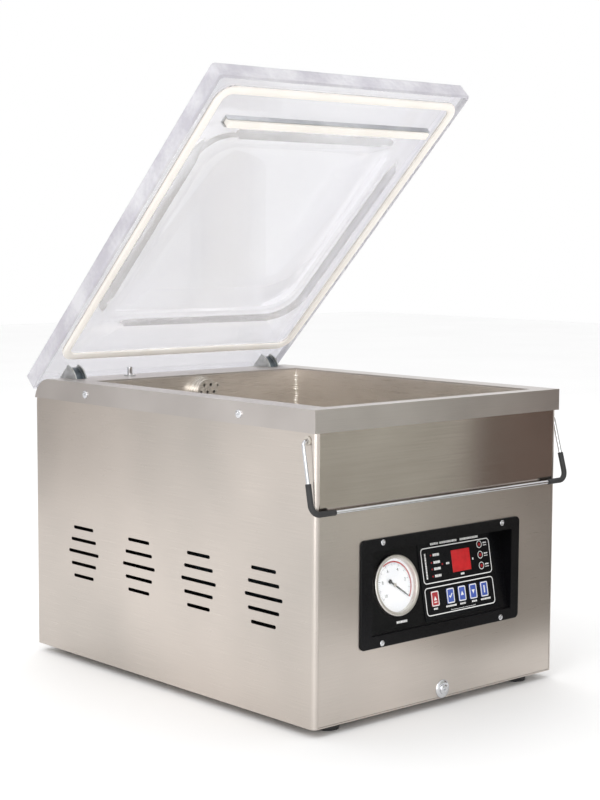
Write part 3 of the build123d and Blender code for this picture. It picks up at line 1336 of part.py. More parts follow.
with BuildPart() as pump_head:
    with BuildSketch(level(inside_floor)):
        with Locations((PUMP_X, (motor_rear + pump_rear) / 2)):
            Rectangle(PUMP_WIDTH, PUMP_LENGTH)
    extrude(amount=PUMP_HEIGHT)
    fillet(pump_head.edges().filter_by(Axis.Z), 6)
    with BuildSketch(facing(motor_rear)):
        with Locations((PUMP_X, PUMP_AXIS_HEIGHT)):
            Circle(SHAFT_RADIUS + 2)
    extrude(amount=-20, mode=Mode.SUBTRACT)
    with BuildSketch(level(inside_floor + PUMP_HEIGHT)):
        with Locations((PUMP_X, hose_drop_y)):
            Circle(STRAINER_STEM)
            Circle(STEM_BORE, mode=Mode.SUBTRACT)
    extrude(amount=12)
pump_head.part.label = "pump_head"
export_step(pump_head.part, "parts/pump_head.step")

hose_route = [(0, tub_rear + 3, strainer_height), (0, hose_drop_y, strainer_height),
              (0, hose_drop_y, pump_top - 10)]
HOSE_BEND = 18

with BuildPart() as vacuum_hose:
    with BuildLine() as hose_path:
        FilletPolyline(*hose_route, radius=HOSE_BEND)
    with BuildSketch(Plane(origin=hose_path.line @ 0, z_dir=hose_path.line % 0)):
        Circle(HOSE_RADIUS)
        Circle(STRAINER_STEM, mode=Mode.SUBTRACT)
    sweep()
vacuum_hose.part.label = "vacuum_hose"
export_step(vacuum_hose.part, "parts/vacuum_hose.step")

EXHAUST_RADIUS = 24
with BuildPart() as exhaust_filter:
    with BuildSketch(level(inside_floor + PUMP_HEIGHT)):
        with Locations((PUMP_X - 30, motor_rear + 34)):
            Circle(EXHAUST_RADIUS)
    extrude(amount=46)
    fillet(exhaust_filter.faces().sort_by(Axis.Z)[-1].edges(), 6)
exhaust_filter.part.label = "exhaust_filter"
export_step(exhaust_filter.part, "parts/exhaust_filter.step")

TRANSFORMER = (76, 84, 70)
TRANSFORMER_SIDE = 55
TRANSFORMER_BACK = 90
transformer_x = TRANSFORMER_SIDE - BODY_WIDTH / 2
with BuildPart() as transformer:
    with BuildSketch(level(inside_floor)):
        with Locations((transformer_x, FRONT + TRANSFORMER_BACK)):
            Rectangle(TRANSFORMER[0], TRANSFORMER[1])
    extrude(amount=TRANSFORMER[2])
    with BuildSketch(facing(FRONT + TRANSFORMER_BACK)):
        with Locations((transformer_x, inside_floor + TRANSFORMER[2] / 2)):
            Rectangle(TRANSFORMER[0] - 26, TRANSFORMER[2] - 26)
    extrude(amount=TRANSFORMER[1] / 2 + 12, both=True)
transformer.part.label = "transformer"
export_step(transformer.part, "parts/transformer.step")

VALVE_SIDE = 45             # valve rail in from the cabinet's side
VALVE_BACK = 275
VALVE_SPREAD = 50
valve_x = BODY_WIDTH / 2 - VALVE_SIDE
with BuildPart() as solenoid_valves:
    with BuildSketch(level(inside_floor + 90)):
        with Locations((valve_x, FRONT + VALVE_BACK)):
            with GridLocations(1, VALVE_SPREAD, 1, 2):
                Rectangle(28, 32)
    extrude(amount=34)
    with BuildSketch(level(inside_floor + 72)):
        with Locations((valve_x, FRONT + VALVE_BACK)):
            with GridLocations(1, VALVE_SPREAD, 1, 2):
                Circle(9)
    extrude(amount=18)
    with BuildSketch(level(inside_floor + 66)):
        with Locations((valve_x, FRONT + VALVE_BACK)):
            Rectangle(30, 96)
    extrude(amount=8)
    with BuildSketch(level(inside_floor)):
        with Locations((valve_x, FRONT + VALVE_BACK)):
            Rectangle(2, 90)
    extrude(amount=68)
solenoid_valves.part.label = "solenoid_valves"
export_step(solenoid_valves.part, "parts/solenoid_valves.step")

print("front face at Y", round(FRONT, 3), "hinge axis at Y", round(hinge_y, 3), "Z", hinge_height)
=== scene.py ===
import json
import math

import bmesh
import bpy
from mathutils import Matrix, Vector

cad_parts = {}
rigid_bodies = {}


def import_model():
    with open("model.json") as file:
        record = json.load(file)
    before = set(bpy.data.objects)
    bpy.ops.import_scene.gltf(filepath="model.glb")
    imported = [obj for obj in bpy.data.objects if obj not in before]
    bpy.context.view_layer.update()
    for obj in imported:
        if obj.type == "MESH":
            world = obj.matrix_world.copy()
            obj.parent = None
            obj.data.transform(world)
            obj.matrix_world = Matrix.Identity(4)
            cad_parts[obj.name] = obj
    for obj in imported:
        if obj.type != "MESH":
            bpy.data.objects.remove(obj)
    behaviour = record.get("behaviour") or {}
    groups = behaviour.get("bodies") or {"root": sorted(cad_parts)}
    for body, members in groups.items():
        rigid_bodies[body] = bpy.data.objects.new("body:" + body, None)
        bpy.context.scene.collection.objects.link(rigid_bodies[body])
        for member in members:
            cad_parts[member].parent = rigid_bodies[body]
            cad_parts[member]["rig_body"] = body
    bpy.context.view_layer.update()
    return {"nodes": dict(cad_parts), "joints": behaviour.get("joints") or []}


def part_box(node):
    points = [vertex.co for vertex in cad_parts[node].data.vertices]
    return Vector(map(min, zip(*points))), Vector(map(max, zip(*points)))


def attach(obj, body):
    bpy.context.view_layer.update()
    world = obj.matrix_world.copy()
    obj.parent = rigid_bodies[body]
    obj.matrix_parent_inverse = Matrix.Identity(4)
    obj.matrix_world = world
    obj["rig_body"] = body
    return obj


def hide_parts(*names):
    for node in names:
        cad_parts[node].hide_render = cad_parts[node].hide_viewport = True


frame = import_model()
MM = 0.001


# ================================================================ workshop helpers
def linear(colour):
    """An sRGB hex colour, such as "C9C0B6", as linear red, green, blue and alpha."""
    parts = [int(colour[i:i + 2], 16) / 255 for i in (0, 2, 4)]
    return [p / 12.92 if p <= 0.04045 else ((p + 0.055) / 1.055) ** 2.4 for p in parts] + [1.0]


def add(tree, kind, inputs=None, **settings):
    """One node in a tree, with its settings, its inputs' values and its links."""
    made = tree.nodes.new(kind)
    for key, value in settings.items():
        setattr(made, key, value)
    for key, value in (inputs or {}).items():
        if isinstance(value, bpy.types.NodeSocket):
            tree.links.new(value, made.inputs[key])
        else:
            made.inputs[key].default_value = value
    return made


def per_metre(size_mm):
    """A pattern's scale for features of that size."""
    return 1 / (size_mm * MM)


# ================================================================ finishes
def surface(name, colour, second, roughness, cloud_mm, grain_mm, relief_mm,
            stretch=(1, 1, 1), metallic=0.0, ior=1.5, **shader_inputs):
    """A finish whose colour drifts between two hex colours over cloud_mm, and whose roughness, from one
    value to another, and relief follow a grain. Stretch is the grain's spacing on X, Y and Z in grains."""
    made = bpy.data.materials.new(name)
    made.use_nodes = True
    tree = made.node_tree
    shader = tree.nodes["Principled BSDF"]
    shader.inputs["Metallic"].default_value = metallic
    if not metallic:
        shader.inputs["IOR"].default_value = ior
    for key, value in shader_inputs.items():
        shader.inputs[key.replace("_", " ")].default_value = value
    place = add(tree, "ShaderNodeTexCoord").outputs["Object"]
    laid = add(tree, "ShaderNodeMapping", {"Vector": place, "Scale": [1 / s for s in stretch]})
    grain = add(tree, "ShaderNodeTexNoise", {"Vector": laid.outputs["Vector"], "Scale": per_metre(grain_mm),
                                             "Detail": 3.0, "Roughness": 0.6})
    cloud = add(tree, "ShaderNodeTexNoise", {"Vector": place, "Scale": per_metre(cloud_mm), "Detail": 2.0})
    blend = add(tree, "ShaderNodeMath", {0: grain.outputs["Fac"], 1: 0.3, 2: cloud.outputs["Fac"]},
                operation="MULTIPLY_ADD")
    drift = add(tree, "ShaderNodeMapRange", {"Value": blend.outputs[0], "From Min": 0.5, "From Max": 0.8})
    hue = add(tree, "ShaderNodeMix", {"Factor": drift.outputs[0]}, data_type="RGBA")
    hue.inputs[6].default_value = linear(colour)
    hue.inputs[7].default_value = linear(second)
    polish = add(tree, "ShaderNodeMapRange", {"Value": grain.outputs["Fac"], "From Min": 0.3, "From Max": 0.7,
                                              "To Min": roughness[0], "To Max": roughness[1]})
    bump = add(tree, "ShaderNodeBump", {"Height": grain.outputs["Fac"], "Strength": 1.0,
                                        "Distance": relief_mm * MM})
    tree.links.new(hue.outputs[2], shader.inputs["Base Color"])
    tree.links.new(polish.outputs[0], shader.inputs["Roughness"])
    tree.links.new(bump.outputs["Normal"], shader.inputs["Normal"])
    return made


def cross_weave(name, colour, second, thread_mm):
    """Coated glass cloth: the crossing threads stay visible under the coat."""
    made = surface(name, colour, second, (0.35, 0.5), 25, 1, 0.01)
    tree = made.node_tree
    shader = tree.nodes["Principled BSDF"]
    place = add(tree, "ShaderNodeTexCoord").outputs["Object"]
    threads = []
    for axis in ("X", "Y"):
        run = add(tree, "ShaderNodeTexWave", {"Vector": place, "Scale": per_metre(thread_mm) / (2 * math.pi)},
                  bands_direction=axis)
        threads.append(run.outputs["Fac"])
    cross = add(tree, "ShaderNodeMath", {0: threads[0], 1: threads[1]}, operation="MULTIPLY")
    bump = add(tree, "ShaderNodeBump", {"Height": cross.outputs[0], "Strength": 0.6, "Distance": 0.05 * MM})
    tree.links.new(bump.outputs["Normal"], shader.inputs["Normal"])
    return made


def stacked(name, colour, second, sheet_mm, axis, metallic):
    """Sheets pressed into a pack: the edge shows fine parallel lines."""
    made = surface(name, colour, second, (0.4, 0.55), 12, 1.5, 0.01, metallic=metallic)
    tree = made.node_tree
    shader = tree.nodes["Principled BSDF"]
    place = add(tree, "ShaderNodeTexCoord").outputs["Object"]
    lines = add(tree, "ShaderNodeTexWave", {"Vector": place, "Scale": per_metre(sheet_mm) / (2 * math.pi)},
                bands_direction=axis)
    bump = add(tree, "ShaderNodeBump", {"Height": lines.outputs["Fac"], "Strength": 0.7,
                                        "Distance": 0.1 * MM})
    tree.links.new(bump.outputs["Normal"], shader.inputs["Normal"])
    return made


# Cold-rolled stainless sheet, belt-brushed along its length: horizontal hairlines that soften what
# it mirrors. They are drawn 0.35 mm apart, coarser than the real 0.1 mm, so that they show.
brushed_sheet = surface("brushed stainless sheet", "D0C7BF", "BDB6AF", (0.27, 0.32), 220, 0.35, 0.0003,
                        stretch=(160, 160, 1), metallic=1.0)
# The same sheet with a finer belt, almost a mirror: darker, with brown reflections.
polished_sheet = surface("fine brushed stainless", "C2B9B1", "B0A79F", (0.12, 0.17), 140, 1.0, 0.001,
                         stretch=(80, 80, 1), metallic=1.0)
# The pressed deck, blasted satin after bending: softer and greyer than the sheets.
pressed_deck = surface("satin stainless pressing", "C6C0BC", "BAB4B0", (0.3, 0.38), 90, 0.5, 0.0005,
                       stretch=(80, 1, 1), metallic=1.0)
# The welded chamber, polished inside, with cloudy marks from the buffing wheel.
buffed_tub = surface("buffed stainless tub", "DDD6CF", "D0C9C2", (0.26, 0.32), 80, 0.35, 0.0003,
                     stretch=(120, 120, 1), metallic=1.0)
# Stainless filler wire left as it cooled: bright ripples.
weld_metal = surface("stainless weld bead", "F4F0EA", "E2DCD2", (0.2, 0.35), 5, 0.6, 0.02, metallic=1.0)
# Chromium plate over polished wire and screws: a cold bright mirror with faint handling marks.
chrome = surface("chromium plate", "DADBDE", "C9CACD", (0.05, 0.14), 20, 1.5, 0.002, metallic=1.0)
# Zinc-plated mild steel: cool grey with a crystal mottle.
zinc = surface("zinc plated steel", "C2C3C1", "A8A9A6", (0.28, 0.42), 6, 0.8, 0.006, metallic=1.0)
# Nickel plate with a satin polish: pale and warm.
satin_nickel = surface("satin nickel plate", "DEDAD4", "CFCAC3", (0.25, 0.35), 12, 0.6, 0.003, metallic=1.0)
# Extruded aluminium, natural: pale, with draw lines along its length.
aluminium = surface("extruded aluminium", "CDCFD1", "B4B6B9", (0.26, 0.38), 30, 0.6, 0.006,
                    stretch=(60, 1, 1), metallic=1.0)
# Turned brass.
brass = surface("turned brass", "D2AE6B", "B8925A", (0.2, 0.32), 8, 0.4, 0.003, metallic=1.0)
# Cast acrylic sheet, polished: colourless, a faint violet in the thickness, fine rubbing marks.
acrylic = surface("cast acrylic sheet", "F8F7FC", "F1F0F8", (0.01, 0.04), 200, 3, 0.003,
                  ior=1.49, Transmission_Weight=1.0, Alpha=0.65)
# The slab's sawn edge, ground but not polished: milky, clouded by the grinding.
ground_edge = surface("ground acrylic edge", "E4E3E8", "C4C1CB", (0.3, 0.5), 45, 5, 0.02,
                      ior=1.49, Transmission_Weight=0.4)
# Pressed silicone rubber, natural white and dull. Its faint glow is painted light: it stands in for the light
# that comes through the rubber and brightens it in the shade under the lid.
silicone = surface("white silicone rubber", "FCF8F2", "F6F1EA", (0.45, 0.6), 35, 0.7, 0.02,
                   ior=1.41, Emission_Color=linear("FFFAF2"), Emission_Strength=0.1)
# Injection-moulded ABS with a spark-eroded grain.
black_abs = surface("black moulded ABS", "08080A", "0C0C0F", (0.24, 0.34), 40, 0.5, 0.01, ior=1.53,
                    Specular_IOR_Level=0.14)
# Natural nylon of the bail's bushes.
natural_nylon = surface("natural nylon", "C9C2B8", "BDB6AB", (0.35, 0.5), 10, 0.6, 0.005, ior=1.53)
# Hinge steel blackened between its cheeks.
black_oxide = surface("black-oxide steel", "687076", "4C5358", (0.28, 0.4), 8, 0.6, 0.004, metallic=1.0)
# Black nitrile rubber: dull, a little grey where it is handled.
rubber = surface("black nitrile rubber", "222223", "2E2E2F", (0.55, 0.75), 12, 0.5, 0.03, ior=1.52)
# Machined nylon board.
white_board = surface("white nylon board", "EDEBE4", "DFDCD2", (0.4, 0.55), 60, 0.9, 0.01, ior=1.53)
# Enamelled dial sheet. Its faint glow is painted light that brightens the dial in the shade of its recess
# behind the glass.
dial_enamel = surface("white dial enamel", "FFFFFF", "F8F9FC", (0.35, 0.45), 15, 0.8, 0.001, ior=1.5,
                      Emission_Color=linear("F4F8FF"), Emission_Strength=0.14)
# Matt black lacquer on the pointer.
needle_lacquer = surface("black needle lacquer", "0D0D0E", "191919", (0.4, 0.55), 6, 0.3, 0.001, ior=1.5)
# Float glass over the dial: mostly seen through, with a faint sheen.
dial_glass = surface("flat dial glass", "FFFFFF", "FBFDFD", (0.0, 0.01), 50, 4, 0.0005,
                     ior=1.52, Transmission_Weight=1.0, Alpha=0.1)
# Screen-printed polyester keypad film: smooth, near black with a blue cast.
keypad_film = surface("dark keypad film", "07080B", "0A0B10", (0.22, 0.3), 60, 0.4, 0.001, ior=1.58,
                      Specular_IOR_Level=0.12)
key_red = surface("red key film", "B4242E", "A31E29", (0.25, 0.35), 12, 0.4, 0.001, ior=1.58)
key_blue = surface("blue key film", "3F5BB4", "3652A6", (0.25, 0.35), 12, 0.4, 0.001, ior=1.58)
# White and red screen ink.
white_ink = surface("white screen ink", "F4F4F2", "E6E6E4", (0.4, 0.5), 8, 0.4, 0.001, ior=1.5)
black_ink = surface("black screen ink", "17171A", "232327", (0.4, 0.5), 8, 0.4, 0.001, ior=1.5)
red_ink = surface("red screen ink", "C2262B", "AD2026", (0.4, 0.5), 8, 0.4, 0.001, ior=1.5)
# Red filter in front of lit segments, and lit lamp lenses: they glow a little of their own.
display_red = surface("lit red filter", "A80C14", "8E0910", (0.12, 0.2), 9, 1.5, 0.001, ior=1.49,
                      Emission_Color=linear("E0141C"), Emission_Strength=0.25)
lamp_red = surface("red lamp lens", "98141E", "7C1018", (0.15, 0.25), 2, 0.4, 0.002, ior=1.49,
                   Emission_Color=linear("FF2A2A"), Emission_Strength=0.06)
# Brown coated glass cloth over the heating strip, and paper laminate under it.
seal_cloth = cross_weave("coated glass cloth", "A9805A", "936C49", 0.8)
phenolic = stacked("phenolic paper laminate", "7B4A2C", "633A22", 0.5, "Z", 0.0)
nichrome = surface("rolled nichrome strip", "9A958E", "7F7A74", (0.25, 0.4), 10, 0.4, 0.004,
                   stretch=(40, 1, 1), metallic=1.0)
# Inside the cabinet.
board_lacquer = surface("green solder lacquer", "1F6A3C", "17542F", (0.25, 0.35), 5, 1.2, 0.03, ior=1.5)
cast_iron = surface("grey cast iron", "5A5A5C", "454548", (0.55, 0.75), 14, 1.0, 0.12, metallic=1.0)
motor_paint = surface("blue grey motor paint", "5B6B78", "4E5C68", (0.35, 0.5), 25, 0.8, 0.03, ior=1.5)
laminations = stacked("stacked electrical steel", "8D8B88", "6E6C69", 0.6, "Y", 1.0)
clear_hose = surface("clear braided hose", "E9EEF0", "D5DDE0", (0.1, 0.2), 20, 2.0, 0.02,
                     ior=1.53, Transmission_Weight=0.85)
# Smooth light grey studio floor.
floor_finish = surface("pale studio floor", "FBFBFB", "F9F9F9", (0.6, 0.7), 400, 2.0, 0.01, ior=1.45)


# ================================================================ shaping
def link(name, mesh, finish=None):
    """A piece made of that mesh."""
    piece = bpy.data.objects.new(name, mesh)
    bpy.context.scene.collection.objects.link(piece)
    if finish:
        mesh.materials.clear()
        mesh.materials.append(finish)
    return piece


def from_bmesh(name, work, finish, crease=30):
    """A piece from a bmesh, smooth where its faces meet at less than crease degrees."""
    limit = math.radians(crease)
    for face in work.faces:
        face.smooth = True
    for edge in work.edges:
        edge.smooth = len(edge.link_faces) == 2 and edge.calc_face_angle(0) < limit
    mesh = bpy.data.meshes.new(name)
    work.to_mesh(mesh)
    work.free()
    return link(name, mesh, finish)


def settle(piece):
    """The piece with its modifiers applied, as a plain mesh."""
    bpy.context.view_layer.update()
    graph = bpy.context.evaluated_depsgraph_get()
    mesh = bpy.data.meshes.new_from_object(piece.evaluated_get(graph), preserve_all_data_layers=True,
                                           depsgraph=graph)
    piece.modifiers.clear()
    piece.data = mesh
    return piece


def place(piece, body, slot, *nodes):
    """The piece rides on a body and stands for the CAD nodes that it replaces. Slot is not used."""
    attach(piece, body)
    if nodes:
        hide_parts(*nodes)
    return piece


def eased(node, finish, slot, ease_mm=0.3, crease=25):
    """The CAD node as a finished piece: triangles merged to whole faces, curves smooth, edges eased."""
    source = frame["nodes"][node]
    work = bmesh.new()
    work.from_mesh(source.data)
    bmesh.ops.remove_doubles(work, verts=work.verts, dist=0.002 * MM)
    bmesh.ops.dissolve_limit(work, angle_limit=math.radians(0.5), verts=work.verts, edges=work.edges)
    piece = from_bmesh(node + "_finished", work, finish, crease)
    if ease_mm:
        edge = piece.modifiers.new("eased edges", "BEVEL")
        edge.width = ease_mm * MM
        edge.segments = 2
        edge.limit_method = "ANGLE"
        edge.angle_limit = math.radians(crease)
        edge.use_clamp_overlap = True
    normals = piece.modifiers.new("flat faces stay flat", "WEIGHTED_NORMAL")
    normals.keep_sharp = True
    settle(piece)
    return place(piece, source["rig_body"], slot, node)


def rounded_ring(half_x, half_y, corner, middle_y, level, steps=10):
    """Points of a rounded rectangle, anticlockwise seen from above, steps + 1 to a corner."""
    points = []
    for turn, (side_x, side_y) in enumerate(((1, 1), (-1, 1), (-1, -1), (1, -1))):
        centre_x = side_x * (half_x - corner)
        centre_y = middle_y + side_y * (half_y - corner)
        for step in range(steps + 1):
            angle = math.radians(90) * (turn + step / steps)
            points.append((centre_x + corner * math.cos(angle), centre_y + corner * math.sin(angle), level))
    return points


def loft(rings, closed=False, work=None):
    """A bmesh skin through rings of as many points each, capped at both ends, or joined last to first."""
    work = work or bmesh.new()
    rows = [[work.verts.new(point) for point in ring] for ring in rings]
    pairs = list(zip(rows, rows[1:])) + ([(rows[-1], rows[0])] if closed else [])
    for low, high in pairs:
        count = len(low)
        for i in range(count):
            work.faces.new((low[i], low[(i + 1) % count], high[(i + 1) % count], high[i]))
    if not closed:
        work.faces.new(rows[0][::-1])
        work.faces.new(rows[-1])
    bmesh.ops.recalc_face_normals(work, faces=work.faces)
    return work


def turned(profile, origin, axis, steps=72):
    """A lathe-turned bmesh: profile is (radius, height) pairs from axis to axis, or a closed loop off it."""
    turn = axis.to_track_quat("Z", "Y").to_matrix().to_4x4()
    rings = []
    for radius, height in profile:
        rings.append([(radius * math.cos(2 * math.pi * i / steps), radius * math.sin(2 * math.pi * i / steps),
                       height) for i in range(steps)])
    work = loft(rings)
    bmesh.ops.transform(work, matrix=Matrix.Translation(origin) @ turn, verts=work.verts)
    return work


# ================================================================ where things are
lid_opening = math.radians(next(j for j in frame["joints"] if j["name"] == "lid_hinge")["range_deg"][1])
pin_low, pin_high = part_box("hinge_pins")
hinge = Vector((0, (pin_low.y + pin_high.y) / 2, (pin_low.z + pin_high.z) / 2))
stand_open = Matrix.Translation(hinge) @ Matrix.Rotation(-lid_opening, 4, "X") @ Matrix.Translation(-hinge)
lie_closed = stand_open.inverted()


def closed_box(node):
    """Lowest and highest corner of a lid node, as it lies with the lid closed."""
    points = [lie_closed @ v.co for v in frame["nodes"][node].data.vertices]
    low = Vector([min(p[i] for p in points) for i in range(3)])
    high = Vector([max(p[i] for p in points) for i in range(3)])
    return low, high


panel_out = Vector(next(j for j in frame["joints"] if j["name"] == "needle_turn")["axis"]).normalized()
panel_up = Vector((0, panel_out.z, -panel_out.y))
overlay_low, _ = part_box("keypad_overlay")
OVERLAY_SHEET = 0.8 * MM
overlay_corner = Vector((0, overlay_low.y, overlay_low.z + OVERLAY_SHEET * panel_out.z))


def panel_point(x, up, out):
    """A point on the keypad: x from the machine's middle, up from the overlay's edge, out from its face."""
    return overlay_corner + Vector((x, 0, 0)) + panel_up * up + panel_out * out


panel_frame = Matrix.Translation(overlay_corner) @ Matrix((
    (1, 0, 0), (0, panel_up.y, panel_out.y), (0, panel_up.z, panel_out.z))).to_4x4()

# ================================================================ CAD parts with a better surface
EASED = {
    "cabinet_shell": (brushed_sheet, "brushed_stainless", 0.5),
    "upper_front_panel": (polished_sheet, "brushed_stainless", 0.5),
    "service_panel": (brushed_sheet, "brushed_stainless", 0.5),
    "rear_panel": (brushed_sheet, "brushed_stainless", 0.3),
    "deck": (pressed_deck, "mirror_stainless", 0.6),
    "chamber_tub": (buffed_tub, "mirror_stainless", 0.4),
    "suction_strainer": (satin_nickel, "zinc_steel", 0.6),
    "vent_nozzle": (satin_nickel, "brass", 0.2),
    "filler_plate": (white_board, "white_plastic", 0.3),
    "seal_bar": (aluminium, "aluminium", 0.4),
    "seal_backing_strip": (phenolic, "phenolic", 0.1),
    "seal_tape": (seal_cloth, "ptfe_tape", 0.1),
    "seal_lift_cylinders": (aluminium, "aluminium", 0.4),
    "counter_bar_holder": (aluminium, "aluminium", 0.2),
    "counter_bar_pad": (silicone, "silicone_white", 0.8),
    "hinge_bases": (zinc, "zinc_steel", 0.3),
    "hinge_pins": (chrome, "chrome", 0.2),
    "hinge_lid_screws": (chrome, "chrome", 0.2),
    "lid_switch_pin": (chrome, "chrome", 0.4),
    "lid_pin_bush": (zinc, "zinc_steel", 0.2),
    "bail_wire": (chrome, "chrome", 0.3),
    "bail_grips": (rubber, "black_rubber", 0.4),
    "bail_bushes": (natural_nylon, "black_plastic", 0.3),
    "feet": (rubber, "black_rubber", 0.5),
    "control_bezel": (black_abs, "black_plastic", 0.8),
    "gauge_dial": (dial_enamel, "gauge_white", 0.0),
    "keypad_overlay": (keypad_film, "keypad_film", 0.1),
    "key_stop": (key_red, "key_red", 0.3),
    "key_set": (key_blue, "key_blue", 0.3),
    "key_up": (key_blue, "key_blue", 0.3),
    "key_down": (key_blue, "key_blue", 0.3),
    "key_manual": (key_blue, "key_blue", 0.3),
    "display_window": (display_red, "display_red", 0.2),
    "indicator_lamps": (lamp_red, "lamp_red", 0.3),
    "power_inlet": (black_abs, "black_plastic", 0.4),
    "power_switch": (black_abs, "black_plastic", 0.4),
    "power_rocker": (black_abs, "black_plastic", 0.4),
}
for node, (finish, slot, ease) in EASED.items():
    eased(node, finish, slot, ease)

HINGE_WIDTH = 14.5 * MM
CHEEK = 1.6 * MM


def hinge_plates():
    """The lid's hinge brackets: bright cheeks, and the web between them left black."""
    low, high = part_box("hinge_brackets")
    offset = high.x - HINGE_WIDTH / 2
    brackets = eased("hinge_brackets", zinc, "zinc_steel", 0.3)
    brackets.data.materials.append(black_oxide)
    for face in brackets.data.polygons:
        if abs(abs(face.center.x) - offset) < HINGE_WIDTH / 2 - 1.2 * CHEEK:
            face.material_index = 1


hinge_plates()

# Parts inside the cabinet keep their CAD shape and get their own finish.
INSIDE = {
    "heating_element": nichrome, "seal_lift_rods": chrome, "lid_springs": zinc, "lid_microswitch": black_abs,
    "control_board": board_lacquer, "motor_housing": motor_paint, "motor_stator": laminations,
    "motor_rotor": laminations, "fan_cover": motor_paint, "pump_head": cast_iron, "vacuum_hose": clear_hose,
    "exhaust_filter": motor_paint, "transformer": laminations, "solenoid_valves": brass,
    "gauge_lens": dial_glass,
}
for node, finish in INSIDE.items():
    mesh = frame["nodes"][node].data
    mesh.materials.clear()
    mesh.materials.append(finish)

# ================================================================ lid
slab_low, slab_high = closed_box("lid_slab")
gasket_low, gasket_high = closed_box("lid_gasket")
LID_SHEET = 20 * MM
LID_CORNER = 4 * MM
EDGE_CHAMFER = 2 * MM
GASKET_WIDTH = 9 * MM
GASKET_CORNER = 14 * MM
DOME_INSETS = (32 * MM, 75 * MM, 99 * MM)     # mouth of the dome from the sides, the front and the rear
DOME_CORNER = 38 * MM
DOME_DEPTH = 18 * MM
DOME_WALL = 55 * MM         # from the mouth to where the ceiling is flat
DOME_STEPS = 24
SWELL_OVER = 8 * MM         # the swelling above starts this far outside the mouth
CORNER_PULL = 0.4           # how much the corners tighten as the wall goes in


def on_lid(piece, slot, *nodes):
    """A piece modelled as the lid lies closed, stood open with it."""
    piece.data.transform(stand_open)
    return place(piece, "lid", slot, *nodes)


def on_rim(middle):
    """Whether a face there is on the slab's sawn rim, chamfers included."""
    return abs(middle.x) > slab_high.x - EDGE_CHAMFER or not (
        slab_low.y + EDGE_CHAMFER < middle.y < slab_high.y - EDGE_CHAMFER)


def lid_sheet():
    """The clear slab: gasket groove and blown pillow hollow below, the pillow's swelling above."""
    under = slab_low.z
    top = under + LID_SHEET
    half_x, half_y = slab_high.x, (slab_high.y - slab_low.y) / 2
    middle = (slab_high.y + slab_low.y) / 2
    side, front, rear = DOME_INSETS
    dome_x = half_x - side
    dome_y = half_y - (front + rear) / 2
    dome_middle = middle + (front - rear) / 2
    ring_y = (gasket_low.y + gasket_high.y) / 2
    groove_x, groove_y = gasket_high.x, (gasket_high.y - gasket_low.y) / 2
    groove = gasket_high.z
    rings = []
    # hollow, from its ceiling down to the mouth: a blown pillow, steep at the mouth and flat in the middle
    for step in range(DOME_STEPS + 1):
        share = 1 - step / DOME_STEPS
        inset = DOME_WALL * share
        rise = DOME_DEPTH * (1 - (1 - share) ** 2)
        rings.append(rounded_ring(dome_x - inset, dome_y - inset, DOME_CORNER - inset * CORNER_PULL,
                                  dome_middle, under + rise))
    # gasket groove
    inner = GASKET_CORNER - GASKET_WIDTH / 2
    outer = GASKET_CORNER + GASKET_WIDTH / 2
    for half, corner, level in ((-GASKET_WIDTH, inner, under), (-GASKET_WIDTH, inner, groove),
                                (0, outer, groove), (0, outer, under)):
        rings.append(rounded_ring(groove_x + half, groove_y + half, corner, ring_y, level))
    # chamfered rim
    for inset, level in ((EDGE_CHAMFER, under), (0, under + EDGE_CHAMFER), (0, top - EDGE_CHAMFER),
                         (EDGE_CHAMFER, top)):
        rings.append(rounded_ring(half_x - inset, half_y - inset, LID_CORNER, middle, level))
    # swelling on top, much like the hollow below it
    swell = slab_high.z - top
    for step in range(DOME_STEPS + 1):
        share = step / DOME_STEPS
        inset = (DOME_WALL + SWELL_OVER) * share - SWELL_OVER
        rise = swell * share * (2 - share) * min(1, 6 * share)
        rings.append(rounded_ring(dome_x - inset, dome_y - inset, DOME_CORNER - inset * CORNER_PULL,
                                  dome_middle, top + rise))
    slab = from_bmesh("lid_acrylic", loft(rings), acrylic)
    slab.data.materials.append(ground_edge)
    for face in slab.data.polygons:
        if on_rim(face.center):
            face.material_index = 1
    return on_lid(slab, "clear_acrylic", "lid_slab")


def gasket_strip():
    """The seal seated in its groove, with a rounded lip."""
    ring_y = (gasket_low.y + gasket_high.y) / 2
    half_x, half_y = gasket_high.x - GASKET_WIDTH / 2, (gasket_high.y - gasket_low.y - GASKET_WIDTH) / 2
    bottom, top = gasket_low.z, gasket_high.z
    lip = 2 * MM
    section = [(-GASKET_WIDTH / 2, top), (-GASKET_WIDTH / 2, bottom + lip)]
    for step in range(1, 6):
        turn = math.radians(180) * (1 - step / 6)
        section.append((GASKET_WIDTH / 2 * math.cos(turn), bottom + lip * (1 - math.sin(turn))))
    section += [(GASKET_WIDTH / 2, bottom + lip), (GASKET_WIDTH / 2, top)]
    rings = [rounded_ring(half_x + out, half_y + out, GASKET_CORNER + out, ring_y, level)
             for out, level in section]
    strip = from_bmesh("lid_gasket_strip", loft(rings, closed=True), silicone)
    return on_lid(strip, "silicone_white", "lid_gasket")


lid_sheet()
gasket_strip()

# ================================================================ vacuum gauge
case_low, case_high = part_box("gauge_case")
gauge_x = (case_low.x + case_high.x) / 2
DIAL_BACK = 2.2 * MM        # dial's back below the panel's floor
DIAL_FACE = -1.4 * MM       # dial's front from the panel's floor
ZERO_ANGLE = -36.0          # the pointer at rest, degrees from the right
NEEDLE_LENGTH = 20 * MM
NEEDLE_SHEET = 0.4 * MM
NEEDLE_CLEAR = 0.8 * MM     # the pointer in front of the dial
RING_RADIUS = 29 * MM
RING_PROUD = 3.5 * MM
GLASS_RADIUS = 25 * MM
CASE_RADIUS = 26.5 * MM
CASE_DEPTH = 24 * MM
GAUGE_UP = 39.5 * MM        # above the overlay's lower edge
gauge_centre = panel_point(gauge_x, GAUGE_UP, -OVERLAY_SHEET)
gauge_frame = Matrix.Translation(gauge_centre) @ panel_frame.to_3x3().to_4x4()


